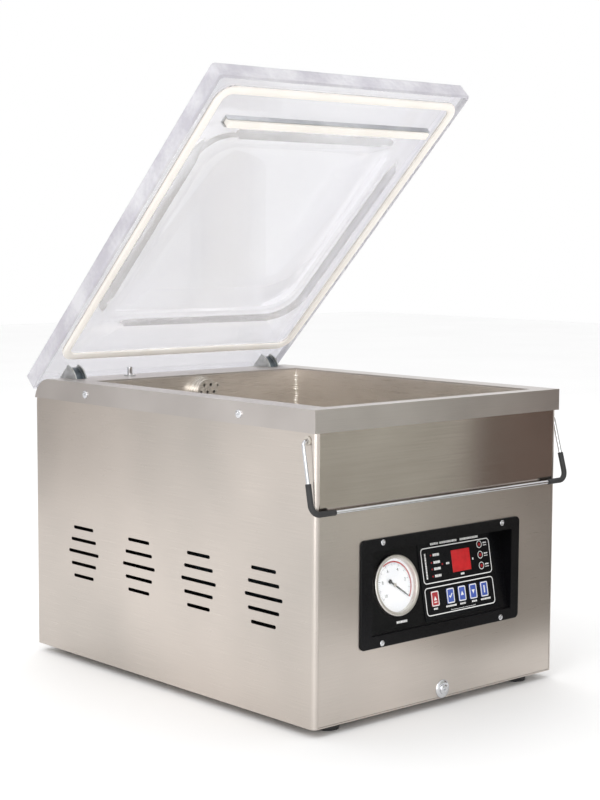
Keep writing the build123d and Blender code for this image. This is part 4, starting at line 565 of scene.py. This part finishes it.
def gauge_ring():
    """The spun steel case with its rolled bezel ring."""
    dial_seat = -DIAL_BACK
    roll = 1.3 * MM
    profile = [(0.9 * MM, dial_seat - 6 * MM), (0.9 * MM, dial_seat), (GLASS_RADIUS, dial_seat),
               (GLASS_RADIUS, RING_PROUD - roll)]
    for step in range(1, 6):
        turn = math.radians(90 * step / 5)
        profile.append((GLASS_RADIUS + roll * (1 - math.cos(turn)), RING_PROUD - roll * (1 - math.sin(turn))))
    for step in range(0, 6):
        turn = math.radians(90 * step / 5)
        profile.append((RING_RADIUS - roll * (1 - math.sin(turn)), RING_PROUD - roll * (1 - math.cos(turn))))
    profile += [(RING_RADIUS, 0), (CASE_RADIUS, 0), (CASE_RADIUS, -CASE_DEPTH), (5 * MM, -CASE_DEPTH),
                (5 * MM, -CASE_DEPTH - 12 * MM), (0.9 * MM, -CASE_DEPTH - 12 * MM)]
    work = turned(profile, gauge_centre, panel_out)
    place(from_bmesh("gauge_case_ring", work, satin_nickel, 35), "cabinet", "zinc_steel", "gauge_case")


gauge_ring()


def needle():
    """The pointer with its round counterweight and the cap on its arbor."""
    outline = [(NEEDLE_LENGTH, -0.2 * MM), (NEEDLE_LENGTH, 0.2 * MM), (0, 0.8 * MM), (-5 * MM, 0.8 * MM)]
    for step in range(13):
        turn = math.radians(50 + 260 * step / 12)
        outline.append((-7 * MM + 2.1 * MM * math.cos(turn), 2.1 * MM * math.sin(turn)))
    outline += [(-5 * MM, -0.8 * MM), (0, -0.8 * MM)]
    work = bmesh.new()
    loft([[(x, y, 0) for x, y in outline], [(x, y, NEEDLE_SHEET) for x, y in outline]], work=work)
    to_zero = Matrix.Rotation(math.radians(ZERO_ANGLE), 4, "Z")
    seat = Matrix.Translation(panel_out * (DIAL_FACE + NEEDLE_CLEAR)) @ gauge_frame @ to_zero
    bmesh.ops.transform(work, matrix=seat, verts=work.verts)
    place(from_bmesh("needle_pointer", work, needle_lacquer), "needle", "needle_black", "gauge_needle")
    cap = [(0.02 * MM, 0), (1.9 * MM, 0), (1.9 * MM, 0.3 * MM), (1.5 * MM, 0.6 * MM), (0.02 * MM, 0.7 * MM)]
    foot = gauge_centre + panel_out * (DIAL_FACE + NEEDLE_CLEAR + NEEDLE_SHEET)
    place(from_bmesh("needle_cap", turned(cap, foot, panel_out, 32), satin_nickel), "needle", "zinc_steel")


needle()

# ================================================================ printing on the dial and the keypad
INK = 0.06 * MM


def stroke(work, half_x, half_y, corner, line, at=(0, 0), base=0.0, steps=6):
    """A printed rounded outline, its line inside the given size."""
    rings = []
    for inset, level in ((0, base), (0, base + INK), (line, base + INK), (line, base)):
        ring = rounded_ring(half_x - inset, half_y - inset, max(corner - inset, 0.05 * MM), at[1], level,
                            steps)
        rings.append([(x + at[0], y, z) for x, y, z in ring])
    loft(rings, closed=True, work=work)


def patch(work, outline, base=0.0):
    """A printed patch inside that outline."""
    rings = [[(x, y, base) for x, y in outline], [(x, y, base + INK) for x, y in outline]]
    loft(rings, work=work)


def bar(work, x, y, width, height, base=0.0):
    """A printed bar about its middle."""
    corners = ((-1, -1), (1, -1), (1, 1), (-1, 1))
    patch(work, [(x + side * width / 2, y + end * height / 2) for side, end in corners], base)


def caption(work, x, y, width, height, base=0.0, upright=False):
    """A row of small dashes of uneven length, where a control has its caption."""
    lengths = (1.5, 0.9, 1.2, 0.7, 1.6, 1.0, 0.8, 1.3)
    gap = 0.35 * MM
    at, i = -width / 2, 0
    while at < width / 2 - 0.3 * MM:
        length = min(lengths[i % len(lengths)] * MM, width / 2 - at)
        along = at + length / 2
        if upright:
            bar(work, x, y + along, height, length, base)
        else:
            bar(work, x + along, y, length, height, base)
        at += length + gap
        i += 1


def printed(name, work, finish, frame_matrix, body, slot):
    """The printing moved to its place in the frame, as a piece."""
    bmesh.ops.transform(work, matrix=frame_matrix, verts=work.verts)
    return place(from_bmesh(name, work, finish), body, slot)


LAMP_COLUMN = 65.5 * MM
LAMP_UPS = (63.7 * MM, 53.4 * MM, 42.8 * MM)        # above the overlay's lower edge
SMALL_LAMP_UPS = (61 * MM, 53.9 * MM, 47.7 * MM, 40.9 * MM)


def keypad_print():
    """White frames round the two fields, rings round the lamps and captions as plain dashes."""
    work = bmesh.new()
    for left, right, low, high in ((-17, 80, 34.5, 68.8), (-17.5, 79.3, 4.2, 31.1)):
        stroke(work, (right - left) / 2 * MM, (high - low) / 2 * MM, 4 * MM, 0.9 * MM,
               ((left + right) / 2 * MM, (low + high) / 2 * MM))
    for lamp_up in LAMP_UPS:
        stroke(work, 3.7 * MM, 3.7 * MM, 3.69 * MM, 0.6 * MM, (LAMP_COLUMN, lamp_up))
        caption(work, 73.5 * MM, lamp_up + 0.9 * MM, 5 * MM, 1.3 * MM)
        caption(work, 73.5 * MM, lamp_up - 1.5 * MM, 5 * MM, 0.8 * MM)
    for lamp_up in SMALL_LAMP_UPS:
        caption(work, 3.8 * MM, lamp_up, 9 * MM, 2.4 * MM)
    caption(work, -11.5 * MM, 51.3 * MM, 24.4 * MM, 1.8 * MM, upright=True)
    for x, width in ((3, 11), (22.5, 24), (52, 26)):
        caption(work, x * MM, 71.6 * MM, width * MM, 2.1 * MM)
    for x, up, width in ((18.5, 51, 4.5), (37.6, 38.6, 5), (54.3, 51, 1.6)):
        caption(work, x * MM, up * MM, width * MM, 1.9 * MM)
    for x, width in ((-4.5, 6), (17, 15), (33.2, 8), (49.5, 7), (66, 14)):
        caption(work, x * MM, 10.3 * MM, width * MM, 1.7 * MM)
    bar(work, 33 * MM, 6.4 * MM, 34 * MM, 0.35 * MM)
    for x in (16, 33, 50):
        bar(work, x * MM, 6.7 * MM, 0.35 * MM, 0.9 * MM)
    printed("keypad_print", work, white_ink, panel_frame, "cabinet", "keypad_film")
    work = bmesh.new()
    caption(work, gauge_x + 3 * MM, 4.9 * MM, 14 * MM, 2.2 * MM, -OVERLAY_SHEET)
    printed("gauge_caption", work, white_ink, panel_frame, "cabinet", "black_plastic")


ARROW_UP = [(-2.2, -1.6), (2.2, -1.6), (0, 2.4)]
ARROW_DOWN = [(-2.2, 1.6), (0, -2.4), (2.2, 1.6)]
HOOK = [(-2.4, -0.4), (-0.6, -2.2), (2.6, 1.8), (1.8, 2.6), (-0.6, -0.4), (-1.5, 0.6)]
UPRIGHT = [(-0.8, -3.6), (0.8, -3.6), (0.8, 3.6), (-0.8, 3.6)]
KEY_UP = 19.9 * MM          # middle of the keys above the overlay's lower edge
KEY_HEIGHT = 14.6 * MM
KEY_PROUD = 1.2 * MM        # above the panel's floor
KEY_MARKS = {"key_stop": ("stop_key", [ARROW_UP]), "key_set": ("set_key", [HOOK]),
             "key_up": ("up_key", [ARROW_UP]), "key_down": ("down_key", [ARROW_DOWN]),
             "key_manual": ("manual_key", [UPRIGHT])}


def key_print(node, body, marks):
    """A key's white border and its mark, printed on its face."""
    low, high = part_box(node)
    half_width = (high.x - low.x) / 2
    face = panel_point((low.x + high.x) / 2, KEY_UP, KEY_PROUD - OVERLAY_SHEET)
    work = bmesh.new()
    stroke(work, half_width - 0.2 * MM, KEY_HEIGHT / 2 - 0.2 * MM, 1.4 * MM, 1.0 * MM)
    for outline in marks:
        patch(work, [(x * MM, y * MM) for x, y in outline])
    if node == "key_stop":
        bar(work, 0, -3.4 * MM, 4 * MM, 1 * MM)
    matrix = Matrix.Translation(face - overlay_corner) @ panel_frame
    printed(node + "_print", work, white_ink, matrix, body, "key_red" if node == "key_stop" else "key_blue")


keypad_print()
for node, (body, marks) in KEY_MARKS.items():
    key_print(node, body, marks)

SCALE_SWEEP = 252.0         # the whole scale, degrees anticlockwise from the pointer at rest
RED_SWEEP = 158.0           # the red band, from the same end


def asked(tree, result, **inputs):
    """The tree's named inputs, each with its kind, and its one result; returns the node that gives them."""
    for name, kind in inputs.items():
        tree.interface.new_socket(name, in_out="INPUT", socket_type="NodeSocket" + kind)
    tree.interface.new_socket(result, in_out="OUTPUT", socket_type="NodeSocketGeometry")
    return add(tree, "NodeGroupInput")


def dial_ticks_tree():
    """Geometry Nodes: ticks round an arc, one box at each step, pointing at the centre."""
    tree = bpy.data.node_groups.new("dial ticks", "GeometryNodeTree")
    given = asked(tree, "Ticks", Radius="Float", Length="Float", Width="Float", Start="Float", Step="Float",
                  Count="Int")
    index = add(tree, "GeometryNodeInputIndex")
    swept = add(tree, "ShaderNodeMath", {0: index.outputs[0], 1: given.outputs["Step"]}, operation="MULTIPLY")
    angle = add(tree, "ShaderNodeMath", {0: swept.outputs[0], 1: given.outputs["Start"]}, operation="ADD")
    across = add(tree, "ShaderNodeMath", {0: angle.outputs[0]}, operation="COSINE")
    along = add(tree, "ShaderNodeMath", {0: angle.outputs[0]}, operation="SINE")
    ray = add(tree, "ShaderNodeCombineXYZ", {"X": across.outputs[0], "Y": along.outputs[0]})
    spot = add(tree, "ShaderNodeVectorMath", {0: ray.outputs[0], "Scale": given.outputs["Radius"]},
               operation="SCALE")
    line = add(tree, "GeometryNodeMeshLine", {"Count": given.outputs["Count"]})
    spread = add(tree, "GeometryNodeSetPosition", {"Geometry": line.outputs[0], "Position": spot.outputs[0]})
    size = add(tree, "ShaderNodeCombineXYZ", {"X": given.outputs["Length"], "Y": given.outputs["Width"],
                                              "Z": INK})
    tick = add(tree, "GeometryNodeMeshCube", {"Size": size.outputs[0]})
    lean = add(tree, "ShaderNodeCombineXYZ", {"Z": angle.outputs[0]})
    turned_to = add(tree, "FunctionNodeEulerToRotation", {"Euler": lean.outputs[0]})
    ticks = add(tree, "GeometryNodeInstanceOnPoints", {"Points": spread.outputs[0],
                                                       "Instance": tick.outputs[0],
                                                       "Rotation": turned_to.outputs[0]})
    real = add(tree, "GeometryNodeRealizeInstances", {"Geometry": ticks.outputs[0]})
    inked = add(tree, "GeometryNodeSetMaterial", {"Geometry": real.outputs[0], "Material": black_ink})
    add(tree, "NodeGroupOutput", {"Ticks": inked.outputs[0]})
    return tree


def grown(name, tree, start=None, **values):
    """A plain mesh piece grown by a Geometry Nodes tree with these inputs, on a starting mesh if given."""
    piece = link(name, start or bpy.data.meshes.new(name))
    grow = piece.modifiers.new(name, "NODES")
    grow.node_group = tree
    sockets = {socket.name: socket.identifier for socket in tree.interface.items_tree
               if socket.in_out == "INPUT"}
    for key, value in values.items():
        grow[sockets[key.replace("_", " ")]] = value
    return settle(piece)


def settle_text(name, text):
    """Text as a plain mesh piece."""
    writing = bpy.data.objects.new(name + "_text", text)
    bpy.context.scene.collection.objects.link(writing)
    bpy.context.view_layer.update()
    mesh = bpy.data.meshes.new_from_object(writing)
    bpy.data.objects.remove(writing)
    return link(name, mesh, black_ink)


def dial_print():
    """Ticks, numbers and the red band of the gauge."""
    tree = dial_ticks_tree()
    on_dial = Matrix.Translation(panel_out * (DIAL_FACE + INK / 2)) @ gauge_frame
    start = math.radians(ZERO_ANGLE)
    for name, radius, length, width, count in (("dial_long_ticks", 19.6, 2.6, 0.35, 11),
                                               ("dial_short_ticks", 20.1, 1.5, 0.2, 51)):
        ticks = grown(name, tree, Radius=radius * MM, Length=length * MM, Width=width * MM, Start=start,
                      Step=math.radians(SCALE_SWEEP) / (count - 1), Count=count)
        ticks.data.transform(on_dial)
        place(ticks, "cabinet", "gauge_white")
    band = bmesh.new()
    steps = 48
    rings = [[], [], [], []]
    for i in range(steps + 1):
        angle = start + math.radians(RED_SWEEP) * i / steps
        for ring, (radius, level) in zip(rings, ((21.2, 0), (21.2, INK), (22.6, INK), (22.6, 0))):
            ring.append((radius * MM * math.cos(angle), radius * MM * math.sin(angle), level))
    loft([list(section) for section in zip(*rings)], work=band)
    dial = Matrix.Translation(panel_out * DIAL_FACE) @ gauge_frame
    printed("dial_red_band", band, red_ink, dial, "cabinet", "gauge_white")
    for i in range(6):
        angle = start + math.radians(SCALE_SWEEP) * i / 5
        text = bpy.data.curves.new("dial number", "FONT")
        text.body = f"{i * 2}"
        text.size = 4.2 * MM
        text.align_x, text.align_y = "CENTER", "CENTER"
        text.extrude = INK / 2
        number = settle_text(f"dial_number_{i * 2}", text)
        radius = 15.2 * MM
        spot = Matrix.Translation((radius * math.cos(angle), radius * math.sin(angle), INK / 2))
        number.data.transform(dial @ spot)
        place(number, "cabinet", "gauge_white")


dial_print()

# ================================================================ weld beads and screws
def weld_tree():
    """Geometry Nodes: an upright run of overlapping drops of filler metal, uneven in size and line."""
    tree = bpy.data.node_groups.new("weld bead", "GeometryNodeTree")
    given = asked(tree, "Weld", Length="Float", Pitch="Float", Bead="Float", Wander="Float", Seed="Int")
    drops = add(tree, "ShaderNodeMath", {0: given.outputs["Length"], 1: given.outputs["Pitch"]},
                operation="DIVIDE")
    step = add(tree, "ShaderNodeCombineXYZ", {"Z": given.outputs["Pitch"]})
    line = add(tree, "GeometryNodeMeshLine", {"Count": drops.outputs[0], "Offset": step.outputs[0]})
    less = add(tree, "ShaderNodeMath", {0: given.outputs["Wander"], 1: -1.0}, operation="MULTIPLY")
    low = add(tree, "ShaderNodeCombineXYZ", {0: less.outputs[0], 1: less.outputs[0]})
    high = add(tree, "ShaderNodeCombineXYZ", {0: given.outputs["Wander"], 1: given.outputs["Wander"]})
    stray = add(tree, "FunctionNodeRandomValue", {0: low.outputs[0], 1: high.outputs[0],
                                                  "Seed": given.outputs["Seed"]}, data_type="FLOAT_VECTOR")
    run = add(tree, "GeometryNodeSetPosition", {"Geometry": line.outputs[0], "Offset": stray.outputs[0]})
    drop = add(tree, "GeometryNodeMeshIcoSphere", {"Radius": given.outputs["Bead"], "Subdivisions": 2})
    swell = add(tree, "FunctionNodeRandomValue", {2: 0.7, 3: 1.25, "Seed": given.outputs["Seed"]},
                data_type="FLOAT")
    beads = add(tree, "GeometryNodeInstanceOnPoints", {"Points": run.outputs[0], "Instance": drop.outputs[0],
                                                       "Scale": swell.outputs[1]})
    real = add(tree, "GeometryNodeRealizeInstances", {"Geometry": beads.outputs[0]})
    smooth = add(tree, "GeometryNodeSetShadeSmooth", {"Geometry": real.outputs[0]})
    metal = add(tree, "GeometryNodeSetMaterial", {"Geometry": smooth.outputs[0], "Material": weld_metal})
    add(tree, "NodeGroupOutput", {"Weld": metal.outputs[0]})
    return tree


def chamber_welds():
    """The beads up the chamber's four corners."""
    tree = weld_tree()
    low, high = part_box("chamber_tub")
    wall = 1.5 * MM
    set_in = 0.8 * MM
    short = 2 * MM              # of the floor and of the mouth
    for number, (x, y) in enumerate(((low.x, low.y), (high.x, low.y), (high.x, high.y), (low.x, high.y))):
        bead = grown(f"chamber_weld_{number + 1}", tree, Length=high.z - low.z - short, Pitch=2.6 * MM,
                     Bead=2.1 * MM, Wander=0.35 * MM, Seed=number + 3)
        corner_x = x + math.copysign(wall + set_in, -x)
        corner_y = y + (wall + set_in) * (1 if y == low.y else -1)
        bead.data.transform(Matrix.Translation((corner_x, corner_y, low.z + short)))
        place(bead, "cabinet", "mirror_stainless")


chamber_welds()


def cross_screw_head(name, radius, height, finish, crown=0.35, steps=40):
    """A pan head with a cross recess, about the origin, its face upwards."""
    profile = [(0.02 * radius, 0), (radius, 0), (radius, height * (1 - crown) * 0.7)]
    for step in range(1, 7):
        turn = math.radians(90) * step / 6
        profile.append((radius * (1 - 0.3 * (1 - math.cos(turn))) * math.cos(turn) + 0.02 * radius,
                        height * ((1 - crown) * 0.7 + (1 - (1 - crown) * 0.7) * math.sin(turn))))
    work = turned(profile, Vector((0, 0, 0)), Vector((0, 0, 1)), steps)
    head = from_bmesh(name, work, finish, 50)
    cutter_work = bmesh.new()
    arm, slot_width, depth = radius * 0.52, radius * 0.13, height * 0.6
    outline = []
    for quarter in range(4):
        turn = math.radians(90) * quarter
        for across, out in ((slot_width, -1), (slot_width, 1)):
            x, y = arm, out * across
            outline.append((x * math.cos(turn) - y * math.sin(turn), x * math.sin(turn) + y * math.cos(turn)))
        outline.append((slot_width * (math.cos(turn) - math.sin(turn)),
                        slot_width * (math.sin(turn) + math.cos(turn))))
    rings = [[(x * 0.55, y * 0.55, height - depth) for x, y in outline],
             [(x, y, height * 1.05) for x, y in outline]]
    loft(rings, work=cutter_work)
    cutter = from_bmesh(name + "_cutter", cutter_work, finish, 10)
    cut = head.modifiers.new("cross recess", "BOOLEAN")
    cut.object = cutter
    cut.solver = "EXACT"
    settle(head)
    bpy.data.objects.remove(cutter)
    return head


def screw_tree(finish):
    """Geometry Nodes: the head at each point, facing that point's way and turned at random."""
    tree = bpy.data.node_groups.new("screw heads", "GeometryNodeTree")
    given = asked(tree, "Screws", Spots="Geometry", Head="Object", Seed="Int")
    head = add(tree, "GeometryNodeObjectInfo", {"Object": given.outputs["Head"]})
    facing = add(tree, "GeometryNodeInputNamedAttribute", {"Name": "facing"}, data_type="FLOAT_VECTOR")
    aim = add(tree, "FunctionNodeAlignRotationToVector", {"Vector": facing.outputs[0]}, axis="Z")
    spin = add(tree, "FunctionNodeRandomValue", {2: 0.0, 3: 2 * math.pi, "Seed": given.outputs["Seed"]},
               data_type="FLOAT")
    about = add(tree, "ShaderNodeCombineXYZ", {"Z": spin.outputs[1]})
    spun = add(tree, "FunctionNodeEulerToRotation", {"Euler": about.outputs[0]})
    turned_to = add(tree, "FunctionNodeRotateRotation", {"Rotation": aim.outputs[0],
                                                         "Rotate By": spun.outputs[0]},
                    rotation_space="LOCAL")
    heads = add(tree, "GeometryNodeInstanceOnPoints", {"Points": given.outputs["Spots"],
                                                       "Instance": head.outputs["Geometry"],
                                                       "Rotation": turned_to.outputs[0]})
    real = add(tree, "GeometryNodeRealizeInstances", {"Geometry": heads.outputs[0]})
    plated = add(tree, "GeometryNodeSetMaterial", {"Geometry": real.outputs[0], "Material": finish})
    add(tree, "NodeGroupOutput", {"Screws": plated.outputs[0]})
    return tree


def screws(name, spots, head, body, slot, seed, *nodes):
    """Screw heads at (point, facing) spots as one piece."""
    mesh = bpy.data.meshes.new(name)
    mesh.from_pydata([point for point, _ in spots], [], [])
    facing = mesh.attributes.new("facing", "FLOAT_VECTOR", "POINT")
    for value, (_, way) in zip(facing.data, spots):
        value.vector = way
    return place(grown(name, screw_heads, start=mesh, Head=head, Seed=seed), body, slot, *nodes)


screw_heads = screw_tree(chrome)
rim_low, rim_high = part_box("rim_screws")
RIM_HEAD_RADIUS = 4 * MM
RIM_HEAD_HEIGHT = 2.2 * MM
rim_spots = []
for side in (-1, 1):
    for y in (rim_low.y + RIM_HEAD_RADIUS, rim_high.y - RIM_HEAD_RADIUS):
        spot = (side * (rim_high.x - RIM_HEAD_HEIGHT), y, (rim_low.z + rim_high.z) / 2)
        rim_spots.append((spot, (side, 0, 0)))
rim_head = cross_screw_head("rim_head", RIM_HEAD_RADIUS, RIM_HEAD_HEIGHT, chrome)
screws("rim_screw_heads", rim_spots, rim_head, "cabinet", "chrome", 2, "rim_screws")
bezel_low, bezel_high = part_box("bezel_screws")
BEZEL_HEAD_RADIUS = 2.75 * MM
BEZEL_HEAD_HEIGHT = 1.2 * MM
bezel_spots = [((x, bezel_low.y + BEZEL_HEAD_HEIGHT, z), (0, -1, 0))
               for x in (bezel_low.x + BEZEL_HEAD_RADIUS, bezel_high.x - BEZEL_HEAD_RADIUS)
               for z in (bezel_low.z + BEZEL_HEAD_RADIUS, bezel_high.z - BEZEL_HEAD_RADIUS)]
bezel_head = cross_screw_head("bezel_head", BEZEL_HEAD_RADIUS, BEZEL_HEAD_HEIGHT, chrome)
screws("bezel_screw_heads", bezel_spots, bezel_head, "cabinet", "chrome", 5, "bezel_screws")
service_low, service_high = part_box("service_panel_screw")
SERVICE_CUP_RADIUS = 9 * MM
SERVICE_CUP_HEIGHT = 2 * MM
SERVICE_HEAD_RADIUS = 5 * MM
SERVICE_HEAD_HEIGHT = 2.6 * MM
service_middle = ((service_low.x + service_high.x) / 2, (service_low.z + service_high.z) / 2)
service_face = service_low.y + SERVICE_CUP_HEIGHT + SERVICE_HEAD_HEIGHT


def cup_washer():
    """The dished washer under the service panel's screw."""
    foot = Vector((service_middle[0], service_face, service_middle[1]))
    profile = [(0.5 * MM, 0), (SERVICE_CUP_RADIUS, 0), (SERVICE_CUP_RADIUS, 0.3 * MM)]
    for step in range(1, 7):
        turn = math.radians(90) * step / 6
        profile.append((SERVICE_HEAD_RADIUS + (SERVICE_CUP_RADIUS - SERVICE_HEAD_RADIUS) * math.cos(turn),
                        0.3 * MM + (SERVICE_CUP_HEIGHT - 0.3 * MM) * math.sin(turn)))
    profile += [(SERVICE_HEAD_RADIUS - 0.4 * MM, SERVICE_CUP_HEIGHT - 0.4 * MM),
                (0.5 * MM, SERVICE_CUP_HEIGHT - 0.4 * MM)]
    work = turned(profile, foot, Vector((0, -1, 0)))
    place(from_bmesh("service_cup_washer", work, chrome, 40), "cabinet", "chrome", "service_panel_screw")


cup_washer()
service_head = cross_screw_head("service_head", SERVICE_HEAD_RADIUS, SERVICE_HEAD_HEIGHT, chrome)
screws("service_screw_head", [((service_middle[0], service_face - SERVICE_CUP_HEIGHT + 0.4 * MM,
                                service_middle[1]), (0, -1, 0))], service_head, "cabinet", "chrome", 9)
for pattern in (rim_head, bezel_head, service_head):
    bpy.data.objects.remove(pattern)

# ================================================================ camera, light and floor
FLOOR_SIZE = 12.0
floor_mesh = bpy.data.meshes.new("studio_floor")
half = FLOOR_SIZE / 2
floor_mesh.from_pydata([(-half, -half, 0), (half, -half, 0), (half, half, 0), (-half, half, 0)], [],
                       [(0, 1, 2, 3)])
studio_floor = link("studio_floor", floor_mesh, floor_finish)

world = bpy.data.worlds.new("soft white studio")
bpy.context.scene.world = world
world.use_nodes = True
world.node_tree.nodes["Background"].inputs["Color"].default_value = linear("FFFFFF")
world.node_tree.nodes["Background"].inputs["Strength"].default_value = 1.0


def soft_box(name, at, towards, size, watts):
    """A square diffuse studio lamp."""
    lamp = bpy.data.lights.new(name, "AREA")
    lamp.shape = "RECTANGLE"
    lamp.size, lamp.size_y = size
    lamp.energy = watts
    thing = bpy.data.objects.new(name, lamp)
    thing.location = at
    thing.rotation_euler = (Vector(towards) - Vector(at)).to_track_quat("-Z", "Y").to_euler()
    bpy.context.scene.collection.objects.link(thing)


soft_box("key light", (-2.2, -0.6, 2.4), (0, 0, 0.2), (1.6, 1.6), 20)
soft_box("top light", (0.3, 0.8, 2.6), (0, 0, 0.2), (1.5, 1.5), 10)


def card(name, at, towards, size, colour, glow=0.0):
    """A card beside the set that only shows as a reflection."""
    mesh = bpy.data.meshes.new(name)
    x, y = size[0] / 2, size[1] / 2
    mesh.from_pydata([(-x, -y, 0), (x, -y, 0), (x, y, 0), (-x, y, 0)], [], [(0, 1, 2, 3)])
    paint = surface(name, colour, colour, (0.8, 0.9), 300, 5, 0.01, Emission_Color=linear(colour),
                    Emission_Strength=glow)
    sheet = link(name, mesh, paint)
    turn = (Vector(towards) - Vector(at)).to_track_quat("Z", "Y").to_matrix().to_4x4()
    mesh.transform(Matrix.Translation(at) @ turn)
    sheet.visible_camera = False
    sheet.visible_shadow = False
    sheet.visible_diffuse = False
    sheet.visible_transmission = False


card("grey_card", (0.39, -0.75, 0.27), (0.39, 0, 0.27), (0.44, 0.5), "CBCDC6")
card("brown_card", (1.07, -0.75, 0.27), (1.07, 0, 0.27), (0.9, 0.5), "72625B")
# A grey card lying on the floor in front of the machine: painted shade on the floor, seen only in reflections
# in the lower front panels.
card("low_card", (0.64, -0.55, 0.004), (0.64, -0.55, 1), (1.0, 0.42), "8A857F")
card("side_card", (-0.8, 1.35, 0.3), (0, 1.35, 0.3), (0.9, 0.6), "A7A3A0")
card("white_card", (-1.35, -1.52, 0.55), (-0.1, -0.2, 0.2), (1.3, 1.2), "FFFFFF", 2.5)

CAMERA_LEFT = 1.16215       # of the machine's middle
CAMERA_BACK = 1.08372       # in front of the cabinet
CAMERA_ABOVE = 0.44681      # the table
CAMERA_HEADING = 42.09      # degrees right of straight ahead
CAMERA_PITCH = -5.51
CAMERA_ROLL = 0.28
camera_data = bpy.data.cameras.new("camera")
camera_data.lens = 76.07
camera_data.sensor_width = 36
camera = bpy.data.objects.new("camera", camera_data)
bpy.context.scene.collection.objects.link(camera)
heading, pitch, roll = (math.radians(a) for a in (CAMERA_HEADING, CAMERA_PITCH, CAMERA_ROLL))
forward = Vector((math.sin(heading) * math.cos(pitch), math.cos(heading) * math.cos(pitch), math.sin(pitch)))
level_right = forward.cross(Vector((0, 0, 1))).normalized()
level_up = level_right.cross(forward)
right = level_right * math.cos(roll) + level_up * math.sin(roll)
up = level_up * math.cos(roll) - level_right * math.sin(roll)
camera_at = (-CAMERA_LEFT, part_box("cabinet_shell")[0].y - CAMERA_BACK, CAMERA_ABOVE)
camera.matrix_world = Matrix.Translation(camera_at) @ Matrix((right, up, -forward)).transposed().to_4x4()
bpy.context.scene.camera = camera
bpy.context.scene.view_settings.view_transform = "Standard"
